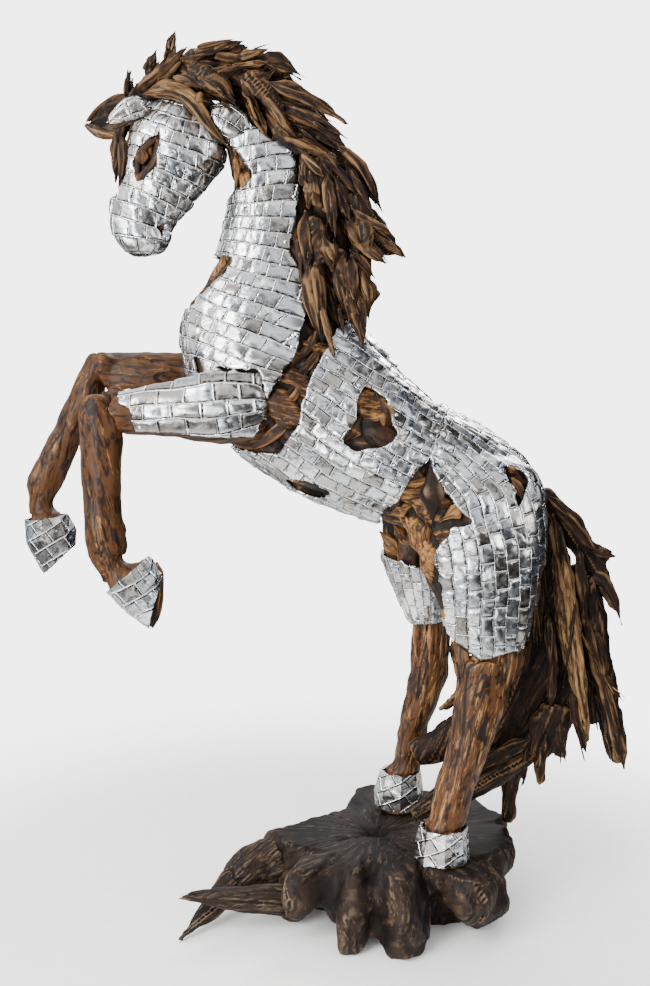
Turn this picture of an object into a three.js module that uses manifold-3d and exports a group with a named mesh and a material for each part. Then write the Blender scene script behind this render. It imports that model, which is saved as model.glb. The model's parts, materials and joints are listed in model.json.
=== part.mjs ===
// A rearing horse put together from driftwood, clad in hammered sheet metal and standing on a root base.
// Millimetres, +Z up. The horse faces -X, its left or near side is -Y, and the origin is on the floor
// under the base. Forms are drawn as the side view shows them: pairs of outline points [x, z] with a half
// width across the horse, and a smooth skin is drawn through the rings that those pairs give.

import * as THREE from "three";
import { mergeVertices } from "three/addons/utils/BufferGeometryUtils.js";
import Module from "manifold-3d";

const wasm = await Module();
wasm.setup();

// Driving dimensions
const GAP = 0.4; // clearance between pieces that touch
const SHEET = 3; // stand-off of the cladding's outer face, with its folds and seams
const HOOF_SHEET = 2.5;
const DECK = 168; // top of the root base, which the hind hooves stand on
const SOLE = DECK + GAP + 0.1;
const BODY_SIDES = 10;
const LIMB_SIDES = 8;
const STICK_SIDES = 5;
const REACH = 400; // half depth of a cutter that passes through the whole horse

// Neck and trunk in one run, from the poll to the tail. `ridge` is the share of the half width that is
// left at the upper outline: the neck thins to a ridge that carries the mane.
const NECK_AND_TRUNK = [
  { upper: [-205, 1880], lower: [-225, 1755], half: 46, ridge: 0.6 },
  { upper: [-110, 1880], lower: [-215, 1705], half: 60, ridge: 0.45 },
  { upper: [-5, 1755], lower: [-210, 1665], half: 70, ridge: 0.4 },
  { upper: [45, 1635], lower: [-222, 1595], half: 78, ridge: 0.4 },
  { upper: [60, 1535], lower: [-246, 1512], half: 94, ridge: 0.4 },
  { upper: [66, 1440], lower: [-304, 1432], half: 120, ridge: 0.45 },
  { upper: [75, 1385], lower: [-325, 1350], half: 138, ridge: 0.5 },
  { upper: [92, 1355], lower: [-308, 1240], half: 150, ridge: 0.6 },
  { upper: [125, 1322], lower: [-205, 1090], half: 156, ridge: 0.75 },
  { upper: [165, 1278], lower: [-88, 1010], half: 160, ridge: 0.9 },
  { upper: [210, 1235], lower: [5, 965], half: 160 },
  { upper: [270, 1187], lower: [115, 928], half: 155 },
  { upper: [375, 1130], lower: [230, 897], half: 143 },
  { upper: [450, 1072], lower: [345, 885], half: 118 },
  { upper: [485, 1020], lower: [435, 895], half: 80 },
  { upper: [503, 968], lower: [488, 910], half: 38 },
];

// Limbs: `upper` is the front edge and `lower` the back edge, and y is how far off the middle it stands.
const NEAR_THIGH = [
  { upper: [220, 1090], lower: [460, 1060], half: 46, y: -95 },
  { upper: [170, 940], lower: [492, 960], half: 72, y: -104 },
  { upper: [195, 838], lower: [486, 858], half: 70, y: -108 },
  { upper: [240, 748], lower: [468, 758], half: 62, y: -110 },
  { upper: [273, 680], lower: [447, 682], half: 54, y: -112 },
  { upper: [293, 635], lower: [430, 640], half: 46, y: -114 },
];
const FAR_THIGH = [
  { upper: [180, 1035], lower: [440, 1020], half: 46, y: 95 },
  { upper: [115, 905], lower: [420, 905], half: 70, y: 104 },
  { upper: [142, 805], lower: [365, 800], half: 66, y: 112 },
  { upper: [180, 715], lower: [325, 708], half: 56, y: 120 },
  { upper: [212, 650], lower: [308, 645], half: 46, y: 126 },
];
const NEAR_HIND_LEG = [
  { upper: [296, 633], lower: [427, 638], half: 44, y: -114 },
  { upper: [292, 575], lower: [418, 578], half: 46, y: -117 },
  { upper: [285, 495], lower: [398, 505], half: 45, y: -120 },
  { upper: [264, 400], lower: [368, 410], half: 42, y: -123 },
  { upper: [245, 320], lower: [335, 326], half: 38, y: -125 },
  { upper: [236, 262], lower: [322, 262], half: 38, y: -126 },
  { upper: [216, 246], lower: [318, 246], half: 50, y: -127 },
  { upper: [208, 200], lower: [322, 200], half: 55, y: -127 },
  { upper: [207, SOLE], lower: [324, SOLE], half: 56, y: -127 },
];
const FAR_HIND_LEG = [
  { upper: [214, 647], lower: [306, 642], half: 42, y: 126 },
  { upper: [210, 540], lower: [299, 520], half: 42, y: 135 },
  { upper: [190, 425], lower: [270, 425], half: 40, y: 146 },
  { upper: [176, 350], lower: [247, 350], half: 36, y: 154 },
  { upper: [170, 285], lower: [238, 282], half: 35, y: 160 },
  { upper: [142, 266], lower: [236, 266], half: 45, y: 163 },
  { upper: [130, 220], lower: [243, 220], half: 52, y: 165 },
  { upper: [132, SOLE], lower: [240, SOLE], half: 52, y: 165 },
];
const NEAR_CANNON = [
  { upper: [-512, 1222], lower: [-462, 1218], half: 26, y: -112 },
  { upper: [-536, 1180], lower: [-440, 1172], half: 45, y: -112 },
  { upper: [-536, 1080], lower: [-444, 1088], half: 43, y: -114 },
  { upper: [-529, 970], lower: [-446, 980], half: 40, y: -115 },
  { upper: [-526, 900], lower: [-440, 908], half: 40, y: -115 },
  { upper: [-523, 860], lower: [-432, 886], half: 38, y: -115 },
  { upper: [-500, 828], lower: [-448, 858], half: 32, y: -115 },
  { upper: [-482, 800], lower: [-420, 850], half: 36, y: -115 },
  { upper: [-480, 784], lower: [-388, 862], half: 48, y: -115 },
  { upper: [-440, 744], lower: [-362, 828], half: 50, y: -115 },
  { upper: [-386, 702], lower: [-364, 808], half: 46, y: -115 },
];
const FAR_CANNON = [
  { upper: [-552, 1314], lower: [-505, 1276], half: 28, y: 108 },
  { upper: [-588, 1245], lower: [-522, 1205], half: 44, y: 110 },
  { upper: [-634, 1155], lower: [-568, 1130], half: 42, y: 112 },
  { upper: [-680, 1070], lower: [-602, 1052], half: 40, y: 112 },
  { upper: [-714, 1000], lower: [-626, 985], half: 38, y: 112 },
  { upper: [-710, 960], lower: [-650, 958], half: 34, y: 112 },
  { upper: [-708, 928], lower: [-645, 930], half: 36, y: 112 },
  { upper: [-715, 910], lower: [-618, 922], half: 46, y: 112 },
  { upper: [-714, 858], lower: [-600, 888], half: 50, y: 112 },
  { upper: [-672, 778], lower: [-603, 850], half: 44, y: 112 },
];
const NEAR_FOREARM = [
  { upper: [-92, 1262], lower: [-72, 1150], half: 26, y: -64 },
  { upper: [-150, 1298], lower: [-135, 1104], half: 58, y: -92 },
  { upper: [-235, 1278], lower: [-225, 1106], half: 64, y: -104 },
  { upper: [-315, 1252], lower: [-315, 1118], half: 54, y: -110 },
  { upper: [-455, 1226], lower: [-460, 1132], half: 42, y: -112 },
  { upper: [-500, 1212], lower: [-495, 1140], half: 34, y: -112 },
];
const FAR_FOREARM = [
  { upper: [-225, 1330], lower: [-210, 1195], half: 56, y: 88 },
  { upper: [-340, 1316], lower: [-340, 1225], half: 50, y: 102 },
  { upper: [-435, 1316], lower: [-432, 1228], half: 44, y: 106 },
  { upper: [-515, 1318], lower: [-505, 1232], half: 42, y: 108 },
  { upper: [-548, 1302], lower: [-540, 1242], half: 34, y: 108 },
];

// Head: `upper` is the face line and `lower` the jaw line. It is turned a little towards the near side.
const HEAD = [
  { upper: [-370, 1872], lower: [-232, 1830], half: 44, y: 4 },
  { upper: [-428, 1822], lower: [-213, 1778], half: 74, y: 0 },
  { upper: [-443, 1765], lower: [-218, 1724], half: 80, y: -4 },
  { upper: [-470, 1645], lower: [-310, 1618], half: 56, y: -12 },
  { upper: [-475, 1598], lower: [-344, 1582], half: 50, y: -15 },
  { upper: [-466, 1558], lower: [-340, 1553], half: 46, y: -17 },
  { upper: [-430, 1526], lower: [-362, 1532], half: 28, y: -18 },
];

// Rings of the limbs that the hoof caps cover, counted back from the sole
const CAP_RINGS = 2;

// Cladding outlines in the side view. Points past the silhouette let the sheet wrap round the form.
const NECK_SHEET = [
  [-265, 1825], [-230, 1842], [-135, 1785], [-75, 1750], [-50, 1670], [-74, 1532], [-25, 1440],
  [-62, 1318], [-125, 1210], [-146, 1120], [-360, 1120], [-360, 1405], [-295, 1410], [-196, 1508],
  [-290, 1540], [-270, 1645], [-212, 1645], [-160, 1690], [-190, 1735],
];
const BARREL_SHEET = [
  [60, 1392], [26, 1366], [-18, 1278], [-50, 1210], [-58, 1158], [-100, 1096], [-240, 1098], [-250, 1040],
  [-75, 950], [55, 900], [112, 900], [126, 966], [158, 985], [180, 1040], [222, 1085], [277, 1190],
  [240, 1193], [165, 1262], [110, 1372],
];
const HIP_SHEET_NEAR = [
  [224, 1085], [279, 1190], [310, 1205], [440, 1135], [512, 1025], [515, 950], [480, 730], [445, 656],
  [395, 660], [335, 644], [268, 705], [240, 885], [278, 944], [316, 950], [250, 1015],
];
const HIP_SHEET_FAR = [
  [224, 1085], [279, 1190], [310, 1205], [440, 1135], [512, 1025], [515, 950], [470, 890], [390, 900],
  [316, 950], [250, 1015],
];
const FAR_THIGH_SHEET = [
  [80, 850], [225, 812], [370, 818], [380, 720], [325, 664], [275, 672], [225, 664], [170, 655],
];
const FOREARM_SHEET = [
  [-140, 1330], [-300, 1275], [-440, 1250], [-447, 1205], [-412, 1182], [-408, 1140], [-330, 1132],
  [-270, 1124], [-220, 1090], [-203, 1120], [-163, 1200],
];
const HEAD_SHEET = [
  [-418, 1808], [-395, 1852], [-300, 1852], [-190, 1770], [-205, 1695], [-310, 1590], [-318, 1545],
  [-405, 1490], [-500, 1535], [-500, 1640], [-452, 1660], [-430, 1692], [-424, 1745],
];

// Openings in the near side's sheets, where the wood shows through
const BARREL_OPENING = [
  [90, 1242], [132, 1205], [146, 1140], [128, 1116], [68, 1103], [40, 1120], [66, 1160], [70, 1215],
];
const BELLY_OPENING = [
  [-98, 1030], [-55, 1038], [8, 1010], [-5, 982], [-45, 985],
];
const HIP_OPENING = [
  [373, 1097], [405, 1088], [442, 1040], [414, 985], [404, 1025],
];
const EYE_OPENING = [
  [-412, 1715], [-395, 1752], [-354, 1777], [-358, 1712], [-402, 1678],
];
const MOUTH_OPENING = [
  [-370, 1587], [-334, 1598], [-333, 1568], [-352, 1563],
];
const CHEST_OPENING = [
  [-303, 1293], [-285, 1307], [-268, 1290], [-270, 1268], [-295, 1260],
];

// Mane sticks in trimming order, nearest the viewer first: root x and z, y, heading in degrees above +X,
// length, width, and a bend as a share of the length. Sticks in one row of the list are one fused lock.
const MANE_LOCKS = [
  [{ x: -270, z: 1897, y: -72, heading: -38, length: 108, width: 52, bend: 0.1 }],
  [
    { x: -156, z: 1872, y: -74, heading: -62, length: 112, width: 28, bend: 0.08 },
    { x: -135, z: 1866, y: -70, heading: -58, length: 112, width: 40, bend: 0.1 },
  ],
  [
    { x: -28, z: 1704, y: -72, heading: -86, length: 88, width: 58 },
    { x: 10, z: 1694, y: -66, heading: -86, length: 128, width: 44, bend: -0.05 },
  ],
  [{ x: -30, z: 1572, y: -80, heading: -76, length: 100, width: 62, bend: 0.06 }],
  [
    { x: 35, z: 1500, y: -72, heading: -80, length: 118, width: 42 },
    { x: 52, z: 1450, y: -66, heading: -72, length: 132, width: 40, bend: 0.05 },
  ],
  [
    { x: -265, z: 1912, y: -40, heading: 3, length: 152, width: 28, bend: 0.05 },
    { x: -190, z: 1898, y: -44, heading: -6, length: 84, width: 56 },
  ],
  [{ x: -85, z: 1830, y: -44, heading: -26, length: 152, width: 46, bend: 0.06 }],
  [{ x: -75, z: 1768, y: -42, heading: -33, length: 150, width: 54, bend: 0.05 }],
  [{ x: -10, z: 1694, y: -40, heading: -40, length: 160, width: 54, bend: 0.06 }],
  [{ x: 72, z: 1626, y: -66, heading: -76, length: 112, width: 52, bend: 0.06 }],
  [{ x: -25, z: 1488, y: -73, heading: -84, length: 148, width: 50 }],
  [{ x: 80, z: 1520, y: -40, heading: -86, length: 128, width: 56, bend: -0.04 }],
  [
    { x: -420, z: 1862, y: -4, heading: 82, length: 50, width: 22 },
    { x: -398, z: 1860, y: -8, heading: 74, length: 98, width: 44, bend: -0.06 },
  ],
  [
    { x: -366, z: 1876, y: -40, heading: 52, length: 114, width: 34, bend: -0.05 },
    { x: -350, z: 1894, y: -36, heading: 73, length: 102, width: 30 },
  ],
  [
    { x: -312, z: 1930, y: -12, heading: 14, length: 145, width: 42, bend: 0.05 },
    { x: -318, z: 1924, y: -18, heading: -28, length: 70, width: 42 },
  ],
  [{ x: -240, z: 1948, y: -36, heading: 8, length: 118, width: 28, bend: 0.03 }],
  [{ x: -140, z: 1922, y: -18, heading: -20, length: 96, width: 46, bend: 0.06 }],
  [{ x: -112, z: 1862, y: -14, heading: -28, length: 176, width: 54, bend: 0.03 }],
  [{ x: 2, z: 1750, y: -14, heading: -50, length: 178, width: 52, bend: 0.04 }],
  [
    { x: 48, z: 1620, y: -8, heading: -38, length: 172, width: 58, bend: 0.08 },
    { x: 62, z: 1586, y: -12, heading: -30, length: 140, width: 46, bend: -0.06 },
  ],
];

// The far side of the mane: shingled rows of like sticks along the crest, each row fused into one lock
const FAR_MANE_ROWS = [
  { from: [-296, 1912], to: [-130, 1880], headings: [14, -30], y: 38 },
  { from: [-110, 1850], to: [-10, 1720], headings: [-30, -50], y: 82 },
  { from: [0, 1690], to: [40, 1500], headings: [-50, -80], y: 46 },
];
const FAR_ROW_STICKS = 3;
const FAR_STICK_LENGTH = 190;
const FAR_STICK_WIDTH = 92;

// Driftwood branches of the tail and its braces: centre line points [x, y, z] with widths in the side view
const TAIL = {
  tail_outer_branch: [
    { points: [[490, -6, 992], [562, -7, 905], [618, -4, 832], [656, -6, 760], [684, -8, 698]],
      widths: [56, 66, 54, 36, 8], flat: 0.8 },
    { points: [[604, -4, 838], [632, -8, 860], [662, -10, 848]], widths: [36, 28, 24], flat: 0.9 },
  ],
  tail_long_stick: [{ points: [[534, -30, 862], [566, -42, 630], [606, -48, 414]], widths: [44, 52, 26], flat: 0.7 }],
  tail_edge_stick: [
    { points: [[606, -8, 800], [640, -10, 590], [694, -14, 362]], widths: [60, 66, 40], flat: 0.7 },
    { points: [[636, -10, 640], [682, -12, 512]], widths: [36, 12], flat: 0.8 },
  ],
  tail_brace: [{ points: [[214, 6, 214], [300, 14, 264], [394, 16, 320], [490, 12, 368]],
    widths: [52, 76, 80, 44], flat: 0.8 }],
  tail_fringe: [
    { points: [[504, -30, 476], [499, -28, 390], [507, -26, 310]], widths: [60, 50, 26], flat: 0.6 },
    { points: [[543, -33, 500], [538, -31, 432], [551, -29, 372]], widths: [90, 64, 24], flat: 0.5 },
  ],
  tail_inner_stick: [{ points: [[588, 34, 822], [636, 42, 600], [644, 44, 430]], widths: [66, 84, 40], flat: 0.5 }],
  tail_far_stick: [{ points: [[516, 60, 912], [570, 84, 700], [608, 90, 440]], widths: [80, 100, 30], flat: 0.4 }],
  tail_prop: [{ points: [[474, 56, 392], [450, 58, 280], [442, 60, 172]], widths: [84, 52, 30], flat: 0.6 }],
  tail_splinters: [
    { points: [[400, 96, 520], [330, 98, 488], [264, 98, 432]], widths: [46, 34, 5], flat: 0.6 },
    { points: [[400, 91, 486], [340, 95, 460], [276, 97, 418]], widths: [40, 30, 5], flat: 0.6 },
  ],
};

// The tail's main plank: it hangs from the croup, and sweeps forward at its foot to the far hind leg.
const TAIL_PLANK = [
  { upper: [545, 935], lower: [474, 952], half: 30, y: 16 },
  { upper: [575, 808], lower: [476, 832], half: 36, y: 20 },
  { upper: [594, 660], lower: [470, 720], half: 38, y: 24 },
  { upper: [598, 545], lower: [452, 635], half: 40, y: 28 },
  { upper: [562, 440], lower: [412, 562], half: 40, y: 34 },
  { upper: [480, 378], lower: [356, 500], half: 38, y: 46 },
  { upper: [360, 340], lower: [300, 446], half: 34, y: 66 },
  { upper: [232, 310], lower: [206, 366], half: 26, y: 86 },
];

// The root base: a plan outline [x, y] of its deck, a smaller core that rests on the floor, and root lobes
// that run from the deck down to the floor.
const DECK_PLAN = [
  [-150, 40], [40, 165], [82, 330], [135, 345], [385, 265], [450, 140], [450, -30], [385, -105],
  [280, -165], [150, -150], [40, -120], [-85, -50],
];
const DECK_THICKNESS = 82;
const CORE_SHARE = 0.8;
const CORE_SINK = 40; // depth that the core runs below the floor before it is sawn off level with it
const CORE_CENTRE = [170, 60];
const LOBES = [
  { points: [[-30, 0, 104], [-64, -68, 76], [-78, -116, 16]], widths: [112, 98, 50] },
  { points: [[58, -60, 88], [52, -172, 76], [55, -248, 14]], widths: [148, 122, 60] },
  { points: [[172, -70, 66], [166, -186, 78], [175, -264, 21]], widths: [188, 168, 104] },
  { points: [[330, -38, 80], [357, -104, 71], [382, -140, 27]], widths: [158, 147, 97] },
  { points: [[150, 250, 90], [110, 330, 56], [90, 376, 14]], widths: [140, 112, 56] },
  { points: [[340, 220, 90], [382, 272, 56], [402, 306, 14]], widths: [140, 112, 56] },
];
const ROOT_ARM = [
  { points: [[-95, 22, 100], [-180, -14, 92], [-248, -82, 50], [-326, -186, 4]], widths: [136, 116, 62, 14] },
];
const ROOT_SPUR = [
  { points: [[-96, -110, 62], [-170, -130, 74], [-250, -150, 90], [-330, -167, 98]], widths: [76, 64, 42, 10] },
];

// Solids from rings of points

function toSolid(positions, faces) {
  const geometry = new THREE.BufferGeometry();
  geometry.setAttribute("position", new THREE.Float32BufferAttribute(positions, 3));
  geometry.setIndex(faces);
  const merged = mergeVertices(geometry);
  return new wasm.Manifold(
    new wasm.Mesh({
      numProp: 3,
      vertProperties: merged.attributes.position.array,
      triVerts: new Uint32Array(merged.index.array),
    }),
  );
}

// A closed skin over rings that have the same number of points, with a fan over each end.
function skin(rings) {
  const sides = rings[0].length;
  const points = rings.flat();
  const faces = [];
  for (let r = 0; r + 1 < rings.length; r++) {
    for (let i = 0; i < sides; i++) {
      const a = r * sides + i;
      const b = r * sides + ((i + 1) % sides);
      faces.push(a, b, b + sides, a, b + sides, a + sides);
    }
  }
  const middle = (ring) => ring.reduce((sum, p) => sum.add(p), new THREE.Vector3()).divideScalar(sides);
  const first = points.length;
  const last = first + 1;
  const lastRing = (rings.length - 1) * sides;
  points.push(middle(rings[0]), middle(rings[rings.length - 1]));
  for (let i = 0; i < sides; i++) {
    const j = (i + 1) % sides;
    faces.push(first, j, i, last, lastRing + i, lastRing + j);
  }
  const positions = points.flatMap((p) => [p.x, p.y, p.z]);
  const solid = toSolid(positions, faces);
  return solid.volume() > 0 ? solid : toSolid(positions, faces.reverse());
}

// An elliptic ring with half axes u and v. `ridge` narrows it towards +u.
function ring(centre, u, v, sides, ridge = 1) {
  return Array.from({ length: sides }, (_, i) => {
    const angle = (i / sides) * Math.PI * 2;
    const towardsRidge = (1 + Math.cos(angle)) / 2;
    const narrowed = 1 - (1 - ridge) * towardsRidge;
    return centre
      .clone()
      .addScaledVector(u, Math.cos(angle))
      .addScaledVector(v, Math.sin(angle) * narrowed);
  });
}

// End rings are pushed out by `grow`, so that a grown form is larger at its ends too.
function pushEnds(rings, centres, grow) {
  const end = rings.length - 1;
  const push = (i, inner) => {
    const step = centres[i].clone().sub(centres[inner]).setLength(grow);
    rings[i].forEach((p) => p.add(step));
  };
  push(0, 1);
  push(end, end - 1);
  return rings;
}

// A form given by outline stations in the side view. `steps` rings are drawn from one station to the next.
function outlineForm(stations, sides, grow = 0, steps = 1) {
  const along = (pick) => new THREE.CatmullRomCurve3(stations.map(pick), false, "catmullrom", 0.5);
  const upper = along((s) => new THREE.Vector3(s.upper[0], s.y ?? 0, s.upper[1]));
  const lower = along((s) => new THREE.Vector3(s.lower[0], s.y ?? 0, s.lower[1]));
  const girth = along((s) => new THREE.Vector3(s.half, s.ridge ?? 1, 0));
  const count = (stations.length - 1) * steps;
  const rings = [];
  const centres = [];
  for (let i = 0; i <= count; i++) {
    const top = upper.getPoint(i / count);
    const bottom = lower.getPoint(i / count);
    const { x: half, y: ridge } = girth.getPoint(i / count);
    const centre = top.clone().add(bottom).multiplyScalar(0.5);
    const u = top.sub(centre);
    u.setLength(u.length() + grow);
    centres.push(centre);
    rings.push(ring(centre, u, new THREE.Vector3(0, half + grow, 0), sides, ridge));
  }
  return skin(pushEnds(rings, centres, grow));
}

// A branch along a smooth centre line. `flat` is its depth as a share of its width in the side view.
function branch({ points, widths, flat = 1 }, sides, grow = 0, steps = 1) {
  const path = new THREE.CatmullRomCurve3(points.map((p) => new THREE.Vector3(...p)));
  const girth = new THREE.CatmullRomCurve3(widths.map((w) => new THREE.Vector3(w, 0, 0)), false, "catmullrom");
  const count = (points.length - 1) * steps;
  const rings = [];
  const centres = [];
  for (let i = 0; i <= count; i++) {
    const t = i / count;
    const half = Math.max(girth.getPoint(t).x, 4) / 2;
    const tangent = path.getTangent(t);
    const across = new THREE.Vector3(0, 1, 0).cross(tangent).normalize();
    const depth = tangent.clone().cross(across).normalize();
    const centre = path.getPoint(t);
    centres.push(centre);
    rings.push(ring(centre, across.setLength(half + grow), depth.setLength(half * flat + grow), sides));
  }
  return skin(pushEnds(rings, centres, grow));
}

// A mane stick: widest near its middle, with a blunt root and a tapering tip.
const STICK_SHARES = [[0, 0.7], [0.45, 1], [1, 0.16]];
const STICK_FLAT = 0.45;
const STICK_LIFT = 14; // how far a tip stands out from the side of the neck
const STICK_TUCK = 0.3; // share of its length that a root runs back under the sticks above it
const STICK_SPREAD = 1.3; // overlap of neighbouring sticks across their width

function stick({ x, z, y, heading, length, width, bend = 0 }, grow = 0) {
  const angle = THREE.MathUtils.degToRad(heading);
  const along = new THREE.Vector3(Math.cos(angle), 0, Math.sin(angle));
  const across = new THREE.Vector3(-Math.sin(angle), 0, Math.cos(angle));
  const tip = new THREE.Vector3(x, y + Math.sign(y) * STICK_LIFT, z).addScaledVector(along, length);
  const root = new THREE.Vector3(x, y, z).addScaledVector(along, -length * STICK_TUCK);
  const middle = root.clone().lerp(tip, 0.5).addScaledVector(across, bend * length * 2);
  const path = new THREE.QuadraticBezierCurve3(root, middle, tip);
  const centres = STICK_SHARES.map(([t]) => path.getPoint(t));
  const rings = STICK_SHARES.map(([t, share], i) => {
    const tangent = path.getTangent(t);
    const u = new THREE.Vector3(0, 1, 0).cross(tangent).setLength((width / 2) * STICK_SPREAD * share + grow);
    const v = new THREE.Vector3(0, (width / 2) * share * STICK_FLAT + grow, 0);
    return ring(centres[i], u, v, STICK_SIDES);
  });
  return skin(pushEnds(rings, centres, grow));
}

const fuse = (solids) => solids.reduce((a, b) => a.add(b));

// A cutter: the side view's outline, drawn smooth where asked, pushed through the horse from y0 to y1.
function prism(outline, y0, y1, spread = 0) {
  const shape = new THREE.Shape(outline.map(([x, z]) => new THREE.Vector2(x, z)));
  const geometry = new THREE.ExtrudeGeometry(shape, { depth: y1 - y0 + 2 * spread, bevelEnabled: false });
  geometry.rotateX(Math.PI / 2); // the shape's y becomes z, and its depth runs along -Y
  geometry.translate(0, y1 + spread, 0);
  return fromGeometry(geometry);
}

function fromGeometry(geometry) {
  const bare = geometry.clone();
  bare.deleteAttribute("normal");
  bare.deleteAttribute("uv");
  const merged = mergeVertices(bare);
  return toSolid(merged.attributes.position.array, [...merged.index.array]);
}

// Materials
const wood = new THREE.MeshStandardMaterial({ color: "#8a5a2e", roughness: 0.45 });
const maneWood = new THREE.MeshStandardMaterial({ color: "#6b4220", roughness: 0.5 });
const rootWood = new THREE.MeshStandardMaterial({ color: "#33261d", roughness: 0.7 });
const sheetMetal = new THREE.MeshStandardMaterial({ color: "#c9cbcd", roughness: 0.25, metalness: 1 });

// Pieces are trimmed, as they are added, to stay clear of every piece that was there before.
const horse = new THREE.Group();
const placed = [];

const boxesMeet = (a, b) => [0, 1, 2].every((i) => a.min[i] <= b.max[i] && b.min[i] <= a.max[i]);
const largestBody = (solid) => solid.decompose().sort((a, b) => b.volume() - a.volume())[0];

function addPiece(name, material, solid, keepOut) {
  const before = placed.filter((other) => boxesMeet(other.keepOut.boundingBox(), solid.boundingBox()));
  const trimmed = largestBody(before.reduce((left, other) => left.subtract(other.keepOut), solid));
  placed.push({ name, keepOut });
  const mesh = trimmed.getMesh();
  const geometry = new THREE.BufferGeometry();
  geometry.setAttribute("position", new THREE.BufferAttribute(mesh.vertProperties, 3));
  geometry.setIndex(new THREE.BufferAttribute(mesh.triVerts, 1));
  geometry.computeVertexNormals();
  const piece = new THREE.Mesh(geometry, material);
  piece.name = name;
  horse.add(piece);
}

// A piece that is the same form, a little larger, to its neighbours.
const addForm = (name, material, form) => addPiece(name, material, form(0), form(GAP));

// A sheet laid on a form and cut to an outline. Openings are cut through it.
function addSheet(name, form, thickness, cutter, openings = []) {
  const bare = form(GAP + thickness).subtract(form(GAP));
  const cut = openings.reduce((left, opening) => left.subtract(opening), bare.intersect(cutter));
  const zone = form(GAP * 2 + thickness).intersect(cutter);
  addPiece(name, sheetMetal, cut, zone);
}

// The root base

function deckPlan(share, bottom, top, grow) {
  const [cx, cy] = CORE_CENTRE;
  const shape = new THREE.Shape(
    DECK_PLAN.map(([x, y]) => new THREE.Vector2(cx + (x - cx) * share, cy + (y - cy) * share)),
  );
  const bevel = 16;
  const geometry = new THREE.ExtrudeGeometry(shape, {
    depth: top - bottom - 2 * bevel + 2 * grow,
    bevelThickness: bevel,
    bevelSize: bevel + grow,
    bevelOffset: -bevel,
    bevelSegments: 1,
  });
  geometry.translate(0, 0, bottom + bevel - grow);
  return fromGeometry(geometry);
}

const FLOOR_CUT = 1000;
function aboveFloor(solid) {
  const below = new THREE.BoxGeometry(4 * FLOOR_CUT, 4 * FLOOR_CUT, FLOOR_CUT);
  below.translate(0, 0, -FLOOR_CUT / 2);
  return solid.subtract(fromGeometry(below));
}

function rootBase(grow) {
  const deck = deckPlan(1, DECK - DECK_THICKNESS, DECK, grow);
  const core = deckPlan(CORE_SHARE, -CORE_SINK, DECK - DECK_THICKNESS / 2, grow);
  const lobes = LOBES.map((lobe) => branch(lobe, STICK_SIDES + 1, grow));
  return aboveFloor(fuse([deck, core, ...lobes]));
}

const branches = (list, sides) => (grow) => fuse(list.map((each) => branch(each, sides, grow)));

addForm("root_base", rootWood, rootBase);
addForm("root_arm", rootWood, (grow) => aboveFloor(branches(ROOT_ARM, LIMB_SIDES)(grow)));
addForm("root_spur", rootWood, (grow) => aboveFloor(branches(ROOT_SPUR, LIMB_SIDES)(grow)));

// The wooden horse under its cladding

const carcass = (grow) =>
  fuse([
    outlineForm(NECK_AND_TRUNK, BODY_SIDES, grow),
    outlineForm(NEAR_THIGH, LIMB_SIDES, grow),
    outlineForm(FAR_THIGH, LIMB_SIDES, grow),
  ]);
const head = (grow) => outlineForm(HEAD, LIMB_SIDES, grow);
const limb = (stations) => (grow) => outlineForm(stations, LIMB_SIDES, grow);

addForm("carcass", wood, carcass);
addForm("head", wood, head);
addForm("near_fore_cannon", wood, limb(NEAR_CANNON));
addForm("near_forearm", wood, limb(NEAR_FOREARM));
addForm("far_fore_cannon", wood, limb(FAR_CANNON));
addForm("far_forearm", wood, limb(FAR_FOREARM));
addForm("near_hind_leg", wood, limb(NEAR_HIND_LEG));
addForm("far_hind_leg", wood, limb(FAR_HIND_LEG));

// Cladding

const through = (outline) => prism(outline, -REACH, REACH);
const nearOnly = (outline) => prism(outline, -REACH, 0);
const farOnly = (outline) => prism(outline, 0, REACH);

addSheet("neck_cladding", carcass, SHEET, through(NECK_SHEET), [nearOnly(CHEST_OPENING)]);
addSheet("barrel_cladding", carcass, SHEET, through(BARREL_SHEET), [
  nearOnly(BARREL_OPENING),
  nearOnly(BELLY_OPENING),
]);
addSheet("hip_cladding", carcass, SHEET, nearOnly(HIP_SHEET_NEAR).add(farOnly(HIP_SHEET_FAR)), [
  nearOnly(HIP_OPENING),
]);
addSheet("far_thigh_cladding", carcass, SHEET, farOnly(FAR_THIGH_SHEET));
addSheet("forearm_cladding", limb(NEAR_FOREARM), SHEET, nearOnly(FOREARM_SHEET));
addSheet("head_cladding", head, SHEET, through(HEAD_SHEET), [nearOnly(EYE_OPENING), nearOnly(MOUTH_OPENING)]);

// A hoof cap is a sleeve round the last rings of a leg, a little short of the sole.
function addHoofCap(name, stations, soleShow) {
  const rings = stations.slice(-CAP_RINGS - 1);
  const sole = rings[CAP_RINGS];
  const wall = rings[CAP_RINGS - 1];
  const towardsWall = (edge) => [0, 1].map((i) => sole[edge][i] + (wall[edge][i] - sole[edge][i]) * soleShow);
  const hem = { ...sole, upper: towardsWall("upper"), lower: towardsWall("lower") };
  const sleeve = [...rings.slice(0, CAP_RINGS), hem];
  const outer = outlineForm(sleeve, LIMB_SIDES, GAP + HOOF_SHEET);
  const keepOut = outlineForm(sleeve, LIMB_SIDES, 2 * GAP + HOOF_SHEET);
  addPiece(name, sheetMetal, outer, keepOut);
}

addHoofCap("near_fore_hoof_cap", NEAR_CANNON, 0.12);
addHoofCap("far_fore_hoof_cap", FAR_CANNON, 0.12);
addHoofCap("near_hind_hoof_cap", NEAR_HIND_LEG, 0.3);
addHoofCap("far_hind_hoof_cap", FAR_HIND_LEG, 0.3);

// Eyes and ears

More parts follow.
